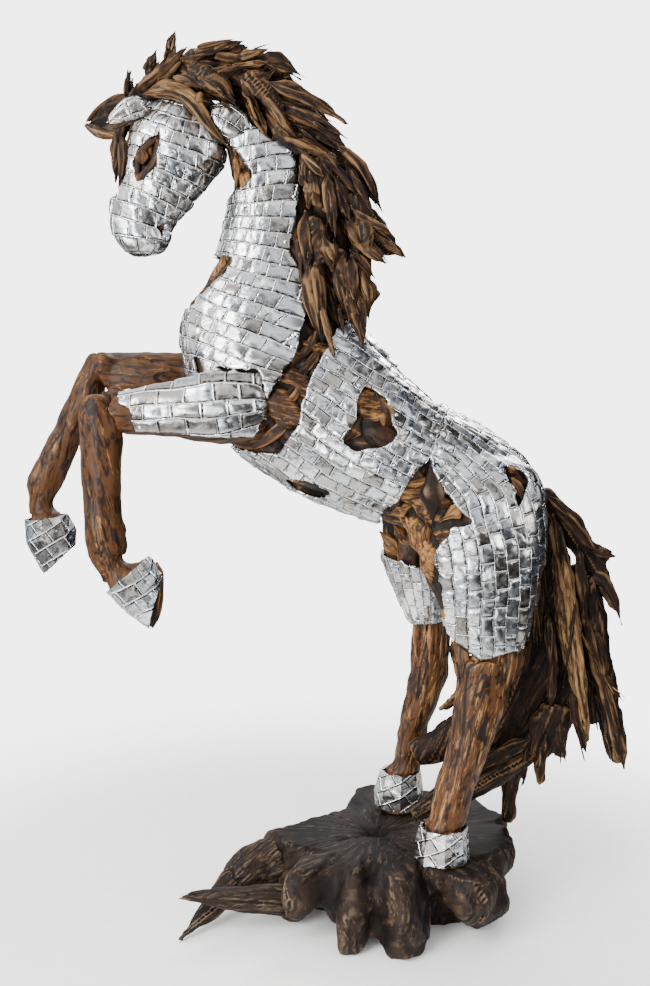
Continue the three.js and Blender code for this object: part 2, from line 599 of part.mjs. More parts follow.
function eye(side) {
  return (grow) => {
    const ball = new THREE.SphereGeometry(1, 8, 6);
    ball.scale(20 + grow, 16 + grow, 17 + grow);
    ball.translate(-386, side * 66 - 4, 1728);
    return fromGeometry(ball);
  };
}
addForm("near_eye", wood, eye(-1));
addForm("far_eye", wood, eye(1));

// Ears: the near one is clad, the far one is a larger cupped leaf
const NEAR_EAR = { points: [[-378, -52, 1832], [-425, -60, 1822], [-472, -62, 1806]], widths: [40, 62, 12], flat: 0.5 };
const FAR_EAR = { points: [[-388, 40, 1848], [-470, 52, 1838], [-548, 56, 1822]], widths: [46, 100, 10], flat: 0.4 };
addForm("near_ear", wood, (grow) => branch(NEAR_EAR, STICK_SIDES + 1, grow, 2));
addForm("far_ear", wood, (grow) => branch(FAR_EAR, STICK_SIDES + 1, grow, 2));

// Forelock and mane

const FORELOCK = {
  points: [[-392, -52, 1858], [-335, -74, 1884], [-288, -86, 1850], [-240, -92, 1790], [-208, -88, 1742]],
  widths: [30, 52, 60, 42, 10],
  flat: 0.5,
};
const FACE_LOCK = [
  { points: [[-432, -6, 1838], [-462, -8, 1760], [-456, -10, 1668]], widths: [34, 30, 10], flat: 1.6 },
];
addForm("forelock", maneWood, (grow) => branch(FORELOCK, STICK_SIDES + 1, grow));
addForm("face_lock", maneWood, branches(FACE_LOCK, STICK_SIDES + 1));

MANE_LOCKS.forEach((lock, i) => {
  const name = `mane_lock_${String(i + 1).padStart(2, "0")}`;
  addForm(name, maneWood, (grow) => fuse(lock.map((each) => stick(each, grow))));
});

FAR_MANE_ROWS.forEach(({ from, to, headings, y }, row) => {
  const sticks = Array.from({ length: FAR_ROW_STICKS }, (_, i) => {
    const share = i / (FAR_ROW_STICKS - 1);
    return {
      x: THREE.MathUtils.lerp(from[0], to[0], share),
      z: THREE.MathUtils.lerp(from[1], to[1], share),
      y,
      heading: THREE.MathUtils.lerp(headings[0], headings[1], share),
      length: FAR_STICK_LENGTH * (1 + 0.15 * Math.cos(i * 2.4)),
      width: FAR_STICK_WIDTH,
      bend: 0.06,
    };
  });
  addForm(`far_mane_row_${row + 1}`, maneWood, (grow) => fuse(sticks.map((each) => stick(each, grow))));
});

// Tail and braces
addForm("tail_plank", rootWood, (grow) => outlineForm(TAIL_PLANK, LIMB_SIDES, grow));
for (const [name, list] of Object.entries(TAIL)) {
  addForm(name, rootWood, branches(list, STICK_SIDES + 1));
}

export default horse;
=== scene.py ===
# %% [markdown]
# # A rearing driftwood horse in hammered metal
# The statue is a horse glued together from driftwood. Patches of small hammered aluminium tiles are nailed
# over neck, barrel, hips, head and hooves, and wood shows between them. A mane and tail of splintered sticks
# and a dark root base finish it. This lesson loads the plain solids of the horse as a frame and dresses each
# one: first a few shaping tools, then the finishes, then the pieces from the ground up.

# %% Load the solids
import json
import math

import bpy
import numpy as np
from mathutils.bvhtree import BVHTree
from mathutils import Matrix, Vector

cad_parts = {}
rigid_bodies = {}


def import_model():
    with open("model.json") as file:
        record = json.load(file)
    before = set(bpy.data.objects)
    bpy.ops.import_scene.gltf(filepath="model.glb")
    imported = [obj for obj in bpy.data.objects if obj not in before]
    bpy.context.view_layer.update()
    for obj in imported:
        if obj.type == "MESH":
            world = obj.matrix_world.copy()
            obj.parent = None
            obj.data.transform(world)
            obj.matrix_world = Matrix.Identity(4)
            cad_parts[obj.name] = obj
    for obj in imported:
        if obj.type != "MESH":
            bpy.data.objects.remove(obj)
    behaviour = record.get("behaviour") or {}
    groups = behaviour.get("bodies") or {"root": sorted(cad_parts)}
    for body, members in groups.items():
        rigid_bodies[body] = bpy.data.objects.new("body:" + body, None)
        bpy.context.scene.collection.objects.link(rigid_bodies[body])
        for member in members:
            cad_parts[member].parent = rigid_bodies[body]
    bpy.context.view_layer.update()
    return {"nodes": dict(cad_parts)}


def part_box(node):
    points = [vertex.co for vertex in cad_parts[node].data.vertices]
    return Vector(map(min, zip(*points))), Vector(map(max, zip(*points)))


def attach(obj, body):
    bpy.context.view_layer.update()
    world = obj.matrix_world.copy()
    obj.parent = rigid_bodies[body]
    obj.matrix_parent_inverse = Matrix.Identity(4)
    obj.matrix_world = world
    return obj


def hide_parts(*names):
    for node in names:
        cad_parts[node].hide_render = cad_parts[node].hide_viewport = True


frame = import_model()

MM = 0.001
nodes = frame["nodes"]

# %% [markdown]
# ## Camera
# The photograph looks at the horse's left side from about 2.6 m away, a little above its chest, and down by
# some 7 degrees. The field of view comes from the photo's height in pixels and the focal length that makes
# the root base and the hooves line up. It is set first, so that every later look is from the same place.

# %% Camera
IMAGE_WIDTH_PX = 650
IMAGE_HEIGHT_PX = 986
FOCAL_PX = 1144
SENSOR_MM = 24
PITCH = math.radians(7.2)
camera_data = bpy.data.cameras.new("photo_camera")
camera_data.sensor_fit = "VERTICAL"
camera_data.sensor_height = SENSOR_MM
camera_data.lens = SENSOR_MM * FOCAL_PX / IMAGE_HEIGHT_PX
camera = bpy.data.objects.new("photo_camera", camera_data)
camera.location = (0, -2.6, 1.32)
camera.rotation_euler = (math.pi / 2 - PITCH, 0, 0)
bpy.context.collection.objects.link(camera)
bpy.context.scene.camera = camera
print("camera lens", round(camera_data.lens, 2), "mm")

# %% [markdown]
# ## Colours and nodes
# Colours are written as the sRGB hex values that an image editor shows, and one function turns them into the
# linear values that Blender's shaders add up. A second function adds a node, fills in its sockets and links
# it, so that a material reads as a list of its layers.


# %% Colour and node helpers
def linear(hex_colour):
    channels = [int(hex_colour[i : i + 2], 16) / 255 for i in (1, 3, 5)]
    return [c / 12.92 if c <= 0.04045 else ((c + 0.055) / 1.055) ** 2.4 for c in channels] + [1.0]


def plug(tree, node, **sockets):
    """Fill a node's sockets: a number or colour is set, another node's output is linked. A socket goes by its
    name, with _ for a space, or by its place, as in `_0`, where several share a name."""
    for name, value in sockets.items():
        socket = node.inputs[int(name[1:]) if name[0] == "_" else name.replace("_", " ")]
        if isinstance(value, bpy.types.NodeSocket):
            tree.links.new(value, socket)
        else:
            socket.default_value = value


def add_node(tree, kind, settings=None, out=0, **sockets):
    """Add a node, plug its sockets and return its output `out`, by place or name. The setting `stops` is a
    colour ramp's list of (place, hex colour)."""
    made = tree.nodes.new("ShaderNode" + kind)
    settings = dict(settings or {})
    stops = settings.pop("stops", [])
    while len(stops) > 2 and len(made.color_ramp.elements) < len(stops):
        made.color_ramp.elements.new(0.5)
    for k, (place, colour) in enumerate(stops):
        made.color_ramp.elements[k].position = place
        made.color_ramp.elements[k].color = linear(colour)
    for name, value in settings.items():
        setattr(made, name, value)
    plug(tree, made, **sockets)
    return made.outputs[out] if len(made.outputs) else None


def new_material(name):
    material = bpy.data.materials.new(name)
    material.use_nodes = True
    tree = material.node_tree
    return material, tree, tree.nodes["Principled BSDF"]


print("helpers ready; mid grey is", [round(c, 3) for c in linear("#808080")[:3]])

# %% [markdown]
# ## Floor and light
# Polished metal shows nothing but the room around it. The room is a bright studio with dark gaps between its
# panels, which gives each tile a light and a dark side. Seen directly, the same studio is a plain pale
# backdrop, and the floor is white paper that fades into it.

# %% Floor and lights
BRIGHT_SIDE = (-0.28, 0.04, 0.3)
STUDIO = [(0.6, "#101216"), (0.78, "#596371"), (0.98, "#ffffff")]
world = bpy.data.worlds.new("studio")
bpy.context.scene.world = world
world.use_nodes = True
sky = world.node_tree
sky.nodes.clear()
place = add_node(sky, "TexCoord", out="Generated")
bands = add_node(sky, "TexNoise", Vector=place, Scale=1.9, Detail=0.0, Distortion=0.4)
aim = add_node(sky, "VectorMath", {"operation": "DOT_PRODUCT"}, "Value", _0=place, _1=BRIGHT_SIDE)
glow = add_node(sky, "Math", {"operation": "MULTIPLY_ADD"}, _0=bands, _1=1.5, _2=aim)
panels = add_node(sky, "ValToRGB", {"stops": STUDIO}, Fac=glow)
room = add_node(sky, "Background", Color=panels, Strength=2.2)
backdrop = add_node(sky, "Background", Color=linear("#f8f8f7"), Strength=5.0)
seen = add_node(sky, "LightPath", out="Is Camera Ray")
both = add_node(sky, "MixShader", Fac=seen, _1=room, _2=backdrop)
add_node(sky, "OutputWorld", Surface=both)


def softbox(name, location, aim, size, watts):
    light = bpy.data.lights.new(name, "AREA")
    light.shape = "RECTANGLE"
    light.size, light.size_y = size
    light.energy = watts
    lamp = bpy.data.objects.new(name, light)
    lamp.location = location
    direction = np.subtract(aim, location)
    across = math.atan2(direction[0], -direction[1])
    down = math.atan2(math.hypot(direction[0], direction[1]), -direction[2])
    lamp.rotation_euler = (down, 0, across + math.pi)
    bpy.context.collection.objects.link(lamp)


softbox("key_softbox", (-2.4, -2.6, 3.4), (-0.1, 0, 1.2), (1.6, 1.6), 155)
softbox("fill_softbox", (2.8, -2.2, 1.8), (0.1, 0, 0.9), (1.2, 2.0), 45)
softbox("head_softbox", (-1.9, -2.3, 1.25), (-0.4, 0, 1.7), (1.3, 1.3), 115)
softbox("low_card", (-0.7, -2.5, 0.6), (-0.3, 0, 1.6), (1.8, 0.9), 32)
softbox("back_softbox", (1.2, 3.0, 3.0), (0, 0, 1.2), (2.0, 1.4), 120)

floor_mesh = bpy.data.meshes.new("studio_floor")
floor_mesh.from_pydata([(-9, -9, 0), (9, -9, 0), (9, 9, 0), (-9, 9, 0)], [], [(0, 1, 2, 3)])
studio_floor = bpy.data.objects.new("studio_floor", floor_mesh)
bpy.context.collection.objects.link(studio_floor)
# Matt white paper: a soft even white that keeps the horse's shadow. It fades out behind the horse, so that no
# horizon line shows.
PAPER = [(0.3, "#f2f2f0"), (0.7, "#f7f7f5")]
FADE = {"From_Min": 0.7, "From_Max": 1.8, "To_Min": 1.0, "To_Max": 0.0}  # metres from the origin
paper, tree, shader = new_material("matt white studio paper")
spot = add_node(tree, "TexCoord", out="Object")
fibres = add_node(tree, "TexNoise", Vector=spot, Scale=1000 / 25, Detail=2.0)
tone = add_node(tree, "ValToRGB", {"stops": PAPER}, Fac=fibres)
reach = add_node(tree, "VectorMath", {"operation": "LENGTH"}, "Value", _0=spot)
solid = add_node(tree, "MapRange", {"interpolation_type": "SMOOTHSTEP"}, Value=reach, **FADE)
plug(tree, shader, Base_Color=tone, Roughness=0.9, Alpha=solid)
floor_mesh.materials.append(paper)
print("floor and", len(bpy.data.lights), "softboxes set")

# %% [markdown]
# ## Shaping tools
# Driftwood and hammered metal have no straight edge, so their shapes are worked in numbers: `noise` gives
# smooth random bumps of a chosen size, and `chunks` splits space into pieces like glued blocks. Both are
# seeded by the cell they fall in, so that each run gives the same horse.


# %% Noise and chunks
def scramble(cell, seed):
    """A number from 0 to 1 for each whole-number cell."""
    h = cell[..., 0] * 374761393 + cell[..., 1] * 668265263 + cell[..., 2] * 1440662683 + seed * 974711
    h = (h ^ (h >> 13)) * 1274126177 & 0x7FFFFFFF
    return ((h ^ (h >> 15)) & 0xFFFFF) / 0xFFFFF


def noise(points, size, seed=0):
    """Smooth noise from -1 to 1, with bumps about `size` metres across."""
    q = points / size + 100.5
    cell = np.floor(q).astype(np.int64)
    f = q - cell
    f = f * f * (3 - 2 * f)
    total = np.zeros(len(points))
    for corner in np.ndindex(2, 2, 2):
        weight = np.prod(np.where(corner, f, 1 - f), axis=1)
        total += weight * (scramble(cell + corner, seed) * 2 - 1)
    return total


def chunks(points, size, seed=0):
    """For each point: how far it is from its chunk's edge (0 at the edge), and the chunk's own number."""
    q = points / size + 100.5
    cell = np.floor(q).astype(np.int64)
    nearest = np.full(len(points), 9.0)
    second = np.full(len(points), 9.0)
    owner = np.zeros(len(points))
    for step in np.ndindex(3, 3, 3):
        other = cell + np.array(step) - 1
        seat = other + np.stack([scramble(other, seed + k) for k in (1, 2, 3)], axis=1)
        distance = np.linalg.norm(q - seat, axis=1)
        closer = distance < nearest
        second = np.where(closer, nearest, np.minimum(second, distance))
        owner = np.where(closer, scramble(other, seed + 4), owner)
        nearest = np.where(closer, distance, nearest)
    return second - nearest, owner


def smooth_step(low, high, x):
    t = np.clip((x - low) / (high - low), 0, 1)
    return t * t * (3 - 2 * t)


print("noise at the origin:", noise(np.zeros((1, 3)), 0.05)[0].round(3))

# %% [markdown]
# ## From a plain solid to an even skin
# A solid from the CAD has large flat faces. Three of Blender's modifiers turn it into a skin that can be
# carved: Remesh (voxel) gives even quads, Smooth rounds the facets off, and Subdivision makes the quads
# small. The result is read back as arrays of numbers, which are quick to push about.


# %% Even skins
def joined(names):
    """Vertices and faces of CAD nodes, in one pair of lists."""
    verts, faces = [], []
    for name in names:
        mesh = nodes[name].data
        faces += [[len(verts) + i for i in p.vertices] for p in mesh.polygons]
        verts += [tuple(v.co) for v in mesh.vertices]
    return verts, faces


def worked(mesh, *modifiers):
    """Vertices and quads of a mesh after modifiers, each given as (kind, settings). The mesh is used up."""
    blank = bpy.data.objects.new("blank", mesh)
    bpy.context.collection.objects.link(blank)
    for kind, settings in modifiers:
        modifier = blank.modifiers.new(kind.lower(), kind)
        for name, value in settings.items():
            setattr(modifier, name, value)
    ready = blank.evaluated_get(bpy.context.evaluated_depsgraph_get())
    result = ready.to_mesh()
    points = np.empty(len(result.vertices) * 3)
    result.vertices.foreach_get("co", points)
    corners = np.empty(len(result.loops), dtype=np.int64)
    result.loops.foreach_get("vertex_index", corners)
    ready.to_mesh_clear()
    bpy.data.objects.remove(blank)
    bpy.data.meshes.remove(mesh)
    return points.reshape(-1, 3), corners.reshape(-1, 4)


def even_skin(names, voxel, relax, levels, plump, added=()):
    """A smooth skin over CAD nodes and added forms. `plump` puts back what smoothing takes off."""
    verts, faces = joined(names)
    for points, quads in added:
        faces += (quads + len(verts)).tolist()
        verts += points.tolist()
    rough = bpy.data.meshes.new("rough")
    rough.from_pydata(verts, [], faces)
    points, quads = worked(
        rough,
        ("REMESH", {"mode": "VOXEL", "voxel_size": voxel}),
        ("SMOOTH", {"factor": 0.5, "iterations": relax}),
        ("SUBSURF", {"levels": levels, "render_levels": levels}),
    )
    return points + normals_of(points, quads) * plump, quads


def normals_of(points, quads):
    corner = points[quads]
    facing = np.cross(corner[:, 2] - corner[:, 0], corner[:, 3] - corner[:, 1])
    total = np.zeros_like(points)
    for axis in range(3):
        for k in range(4):
            total[:, axis] += np.bincount(quads[:, k], facing[:, axis], len(points))
    return total / np.maximum(np.linalg.norm(total, axis=1, keepdims=True), 1e-12)


def sunken(points, quads):
    """How far each point lies below its neighbours, in edge lengths: over 0 in grooves, under 0 on ridges."""
    total, met, spans = np.zeros_like(points), np.zeros(len(points)), []
    for k in range(4):
        a, b = quads[:, k], quads[:, (k + 1) % 4]
        spans.append(np.linalg.norm(points[a] - points[b], axis=1).mean())
        for here, there in ((a, b), (b, a)):
            met += np.bincount(here, minlength=len(points))
            for axis in range(3):
                total[:, axis] += np.bincount(here, points[there, axis], len(points))
    rise = (total / np.maximum(met, 1)[:, None] - points) * normals_of(points, quads)
    return rise.sum(axis=1) / np.mean(spans)


def add_piece(name, points, quads, material, slot, replaced=(), **layers):
    """A Blender object from arrays, that rides on the horse and may stand for CAD nodes."""
    mesh = bpy.data.meshes.new(name)
    mesh.from_pydata(points.tolist(), [], quads.tolist())
    mesh.shade_smooth()
    for layer, values in layers.items():
        kind, field = ("FLOAT", "value") if values.ndim == 1 else ("FLOAT_VECTOR", "vector")
        mesh.attributes.new(layer, kind, "POINT").data.foreach_set(field, values.astype(np.float32).ravel())
    mesh.materials.append(material)
    piece = bpy.data.objects.new(name, mesh)
    bpy.context.collection.objects.link(piece)
    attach(piece, "root")
    if replaced:
        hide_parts(*replaced)
    print(f"{name}: {len(points)} vertices, {len(quads)} quads")


print("a trial skin of the near eye has", len(even_skin(["near_eye"], 0.004, 1, 1, 0.001)[0]), "vertices")

# %% [markdown]
# ## Driftwood
# Water and sand eat the soft spring wood first, so driftwood keeps hard ridges along its grain, with grooves,
# cracks and knots between. The statue's wood is oiled and honey where it is sanded; the near black in the
# hollows is painted shade. The grooves are carved into the mesh. The colours follow two layers that each
# vertex carries: `grain`, its place along and across the grain, and `hollow`, how deep in a groove it lies,
# which paints shade into grooves and a painted highlight, mixed with wear, onto ridges. `tone` tells sticks
# apart.


# %% Carving along the grain
def grain_of(points):
    """Each point's place along the piece's longest direction, and across it."""
    centred = points - points.mean(axis=0)
    _, axes = np.linalg.eigh(centred.T @ centred)
    return centred @ axes[:, ::-1]


def carve(points, quads, grain, seed, lump=2.5, groove=1.0, spacing=9.0, crack=2.5, stretch=7.0):
    """Weather a piece: lumps, grooves and cracks (depths and spacing in mm). Returns points and hollow."""
    stretched = grain / [stretch, 1, 1]
    wide = (1 - np.abs(noise(stretched, spacing * MM, seed))) ** 3
    fine = (1 - np.abs(noise(stretched, spacing * 0.45 * MM, seed + 1))) ** 3
    split = 1 - np.abs(noise(stretched, spacing * 2.6 * MM, seed + 2))
    torn = smooth_step(-0.1, 0.45, noise(grain / [3, 1, 1], spacing * 3 * MM, seed + 4))
    cracks = smooth_step(0.93, 0.99, split) * torn
    relief = groove * (0.55 - 1.1 * wide - 0.55 * fine) - crack * cracks
    depth = lump * noise(points, 0.055, seed + 3) + 0.5 * lump * noise(points, 0.024, seed + 5) + relief
    points = points + normals_of(points, quads) * (depth * MM)[:, None]
    # hollow drives painted shade in grooves and cracks (over 0) and a painted highlight with wear on ridges
    # (under 0)
    hollow = 0.4 * wide * torn + 0.25 * wide * fine + 0.8 * cracks + 2.6 * sunken(points, quads)
    return points, np.clip(hollow, -1, 1)


def carved(name, voxel, relax, plump, seed, added=(), **carving):
    """A CAD node's skin, carved along its grain: points, quads and the layers that its finish reads."""
    points, quads = even_skin([name], voxel, relax, 1, plump, added)
    grain = grain_of(points)
    points, hollow = carve(points, quads, grain, seed, **carving)
    return points, quads, {"grain": grain, "hollow": hollow}


print("grain of a 1 m line:", grain_of(np.array([[0, 0, 0], [0, 0, 1.0]])).round(2).tolist())


# %% Driftwood finishes
def driftwood(name, dark, middle, light, grain_mm, blotch, rough, gloss_level, stain_mm=30):
    """Oiled driftwood. Streaks of `grain_mm` run along the grain; hollows get painted shade, and ridges
    are painted light, partly as wear and partly as a painted highlight.
    """
    material, tree, shader = new_material(name)
    grain = add_node(tree, "Attribute", {"attribute_name": "grain"}, "Vector")
    hollow = add_node(tree, "Attribute", {"attribute_name": "hollow"}, "Fac")
    tone = add_node(tree, "Attribute", {"attribute_name": "tone"}, "Fac")
    along = add_node(tree, "Mapping", Vector=grain, Scale=(0.12, 1.0, 1.0))
    ragged = {"Detail": 4.0, "Roughness": 0.55, "Distortion": 0.6}
    broad = add_node(tree, "TexNoise", Vector=along, Scale=1000 / grain_mm, **ragged)
    fine = add_node(tree, "TexNoise", Vector=along, Scale=1000 / 2.2, Detail=3.0)
    streaks = add_node(tree, "Mix", _0=0.35, _2=broad, _3=fine)
    shifted = add_node(tree, "Math", {"operation": "MULTIPLY_ADD"}, _0=tone, _1=0.38, _2=-0.19)
    streaks = add_node(tree, "Math", {"use_clamp": True}, _0=streaks, _1=shifted)
    shades = [(0.29, dark), (0.43, middle), (0.56, middle), (0.76, light)]
    colour = add_node(tree, "ValToRGB", {"stops": shades}, Fac=streaks)
    # Stains from knots and old wet ends, about three times as long as they are wide
    half = add_node(tree, "Mapping", Vector=grain, Scale=(0.35, 1.0, 1.0))
    cloudy = {"Detail": 4.0, "Roughness": 0.6, "Distortion": 1.0}
    stain = add_node(tree, "TexNoise", Vector=half, Scale=1000 / stain_mm, **cloudy)
    soaked = {"From_Min": 0.46, "From_Max": 0.62, "To_Min": 0.0, "To_Max": blotch}
    stain = add_node(tree, "MapRange", {"interpolation_type": "SMOOTHSTEP"}, Value=stain, **soaked)
    multiply = {"data_type": "RGBA", "blend_type": "MULTIPLY"}
    stained = add_node(tree, "Mix", multiply, 2, _0=stain, _6=colour, _7=linear("#3a2617"))
    # Painted highlight mixed with wear: convex ridges (hollow under 0) are lightened towards the light colour
    ridge = add_node(tree, "MapRange", Value=hollow, From_Min=-0.15, From_Max=-0.8, To_Min=0.0, To_Max=0.6)
    worn_and_highlit = add_node(tree, "Mix", {"data_type": "RGBA"}, 2, _0=ridge, _6=stained, _7=linear(light))
    # Painted shade: grooves and cracks (hollow over 0) are darkened nearly to black
    deep = add_node(tree, "MapRange", Value=hollow, From_Min=0.1, From_Max=0.65, To_Min=0.0, To_Max=0.95)
    final = add_node(tree, "Mix", {"data_type": "RGBA"}, 2, _0=deep, _6=worn_and_highlit, _7=linear("#080503"))
    worn = add_node(tree, "MapRange", Value=streaks, To_Min=rough + 0.14, To_Max=rough - 0.06)
    bump = add_node(tree, "Bump", Height=streaks, Strength=0.5, Distance=0.0012)
    plug(tree, shader, Base_Color=final, Roughness=worn, Normal=bump, Specular_IOR_Level=gloss_level)
    return material


# Oiled branches: honey wood with dark blotches and a soft sheen
leg_wood = driftwood("oiled teak driftwood", "#180b04", "#45280f", "#a97e50", 10, 0.95, 0.5, 0.2, stain_mm=17)
# Split sticks: fine bright grain beside torn faces that get dark painted shade
mane_wood = driftwood("splintered teak driftwood", "#0f0703", "#2c190d", "#80613f", 4, 0.85, 0.55, 0.15)
# Weathered planks: nearly black, with edges painted light, partly as wear and partly as a painted highlight
tail_wood = driftwood("dark weathered driftwood", "#0c0603", "#26160c", "#846441", 5, 0.8, 0.6, 0.12)
# An old root: dull grey brown, the least shiny wood of all
root_wood = driftwood("dark weathered root", "#090503", "#231812", "#725e49", 11, 0.6, 0.65, 0.15)
# Glued offcuts: each chunk in its own brown, between dark glue lines
core_wood = driftwood("glued teak chunks", "#0c0603", "#2d190b", "#93683c", 6, 0.85, 0.5, 0.15)
print("driftwood finishes:", [m.name for m in bpy.data.materials if "drift" in m.name or "root" in m.name])

# %% [markdown]
# ## Hammered aluminium
# The tiles are cut from polished aluminium sheet, bent over the wood by hammer, and joined by narrow raised
# folds. Each tile faces its own way, which is why one flashes white and the next shows grey. The pattern is
# a hand-laid brick bond. Its joints come from a Brick texture that reads the layer `tile`, the place on the
# sheet in metres, so that the folds drawn by the shader fall exactly between the tiles bent in the mesh.

# %% Aluminium finish
TILE_LENGTH = 41 * MM
TILE_HEIGHT = 30 * MM
FOLD_REACH = 2.1 * MM  # half of a fold's width
SHADOW_SHIFT = (1.2 * MM, 1.7 * MM, 0)  # each fold has a painted shadow: a dark line along its lower side

# Bright sheet that mirrors the studio softly: white where it faces a panel, grey or dark where it doesn't
aluminium, tree, shader = new_material("hammered aluminium sheet")
tile = add_node(tree, "Attribute", {"attribute_name": "tile"}, "Vector")
lower = add_node(tree, "Mapping", Vector=tile, Location=SHADOW_SHIFT)
BOND = {"Color1": linear("#000000"), "Color2": linear("#ffffff"), "Mortar": linear("#bcbcbc"), "Bias": 0.0}
BOND.update(Scale=1.0, Brick_Width=TILE_LENGTH, Row_Height=TILE_HEIGHT, Mortar_Smooth=1.0)
SHEET = [(0.0, "#85807b"), (0.3, "#a19e9a"), (0.5, "#b0b3b7"), (0.75, "#c4c6c9"), (1.0, "#e6e5e2")]
bond = add_node(tree, "TexBrick", {"offset": 0.5}, "Color", Vector=tile, Mortar_Size=FOLD_REACH, **BOND)
fold = bond.node.outputs["Fac"]
under = add_node(tree, "TexBrick", {"offset": 0.5}, "Fac", Vector=lower, Mortar_Size=1.6 * FOLD_REACH, **BOND)
sheet = add_node(tree, "ValToRGB", {"stops": SHEET}, Fac=bond)
# Hammer marks about 16 mm across, and flecks of 7 mm that break up the painted shadow beside the folds
marks = add_node(tree, "TexNoise", Vector=tile, Scale=1000 / 16, Detail=1.0, Distortion=0.6)
grit = add_node(tree, "TexNoise", Vector=tile, Scale=1000 / 7, Detail=3.0, Roughness=0.6)
flecks = add_node(tree, "MapRange", Value=grit, From_Min=0.38, From_Max=0.56, To_Min=0.35, To_Max=1.0)
# Painted shadow: a dark line along the lower side of each fold, broken into flecks
dark = add_node(tree, "MapRange", Value=under, From_Min=0.06, From_Max=0.4)
painted_fold_shadow = add_node(tree, "Math", {"operation": "MULTIPLY"}, _0=dark, _1=flecks)
# Painted highlight: each fold's crest is painted near white
crest = add_node(tree, "MapRange", Value=fold, From_Min=0.25, From_Max=0.6)
with_fold_shadow = add_node(tree, "Mix", {"data_type": "RGBA"}, 2, _0=painted_fold_shadow, _6=sheet, _7=linear("#0d0d0f"))
colour = add_node(tree, "Mix", {"data_type": "RGBA"}, 2, _0=crest, _6=with_fold_shadow, _7=linear("#f4f4f4"))
satin = add_node(tree, "MapRange", Value=marks, From_Min=0.3, From_Max=0.7, To_Min=0.2, To_Max=0.34)
raised = add_node(tree, "Bump", Height=fold, Strength=1.0, Distance=0.0022)
dented = add_node(tree, "Bump", Height=marks, Normal=raised, Strength=0.4, Distance=0.004)
plug(tree, shader, Base_Color=colour, Metallic=1.0, Roughness=satin, Normal=dented)
print("aluminium tile", TILE_LENGTH, "x", TILE_HEIGHT, "m")

# %% [markdown]
# ## Splintered sticks
# The mane and tail are broken sticks and chips, laid like shingles, and a few more are wedged in at the tops
# of the hind legs. A stick is a row of uneven rings along a bent line, with torn ends. Where each one lies
# was measured on the photograph in pixels. The camera turns a pixel into a line of sight, and the stick is
# laid on whatever that line meets first: the neck, a lock of the mane or the tail's plank.


# %% Sticks
HORSE_DISTANCE = 2.55


def line_of_sight(px, py):
    right = (px - IMAGE_WIDTH_PX / 2) / FOCAL_PX
    up = (IMAGE_HEIGHT_PX / 2 - py) / FOCAL_PX
    ray = (right, math.cos(PITCH) + up * math.sin(PITCH), up * math.cos(PITCH) - math.sin(PITCH))
    return np.array(camera.location), np.array(ray)


def seen_at(pixels, *depths):
    """A line through pixels of the photograph, at one depth or one each, in metres behind the origin."""
    depths = depths if len(depths) > 1 else depths * len(pixels)
    line = []
    for (px, py), depth in zip(pixels, depths):
        eye, ray = line_of_sight(px, py)
        line.append(eye + ray * (depth - eye[1]) / ray[1])
    return line


def ground_of(names):
    """What sticks are laid on: CAD nodes in one search tree."""
    return BVHTree.FromPolygons(*joined(names))


def laid_line(pixels, ground, lift, depth):
    """A stick's line in metres, from pixels. Where nothing lies behind a pixel, the last depth holds."""
    line = []
    for px, py in pixels:
        eye, ray = line_of_sight(px, py)
        hit = ground.ray_cast(eye.tolist(), ray.tolist())[0]
        if hit is not None:
            depth = hit[1] - lift * MM
        line.append(eye + ray * (depth - eye[1]) / ray[1])
    depths = np.array([p[1] for p in line])
    middle = 0.5 * depths + 0.5 * depths.mean()
    return [np.array([p[0], y, p[2]]) for p, y in zip(line, middle)]


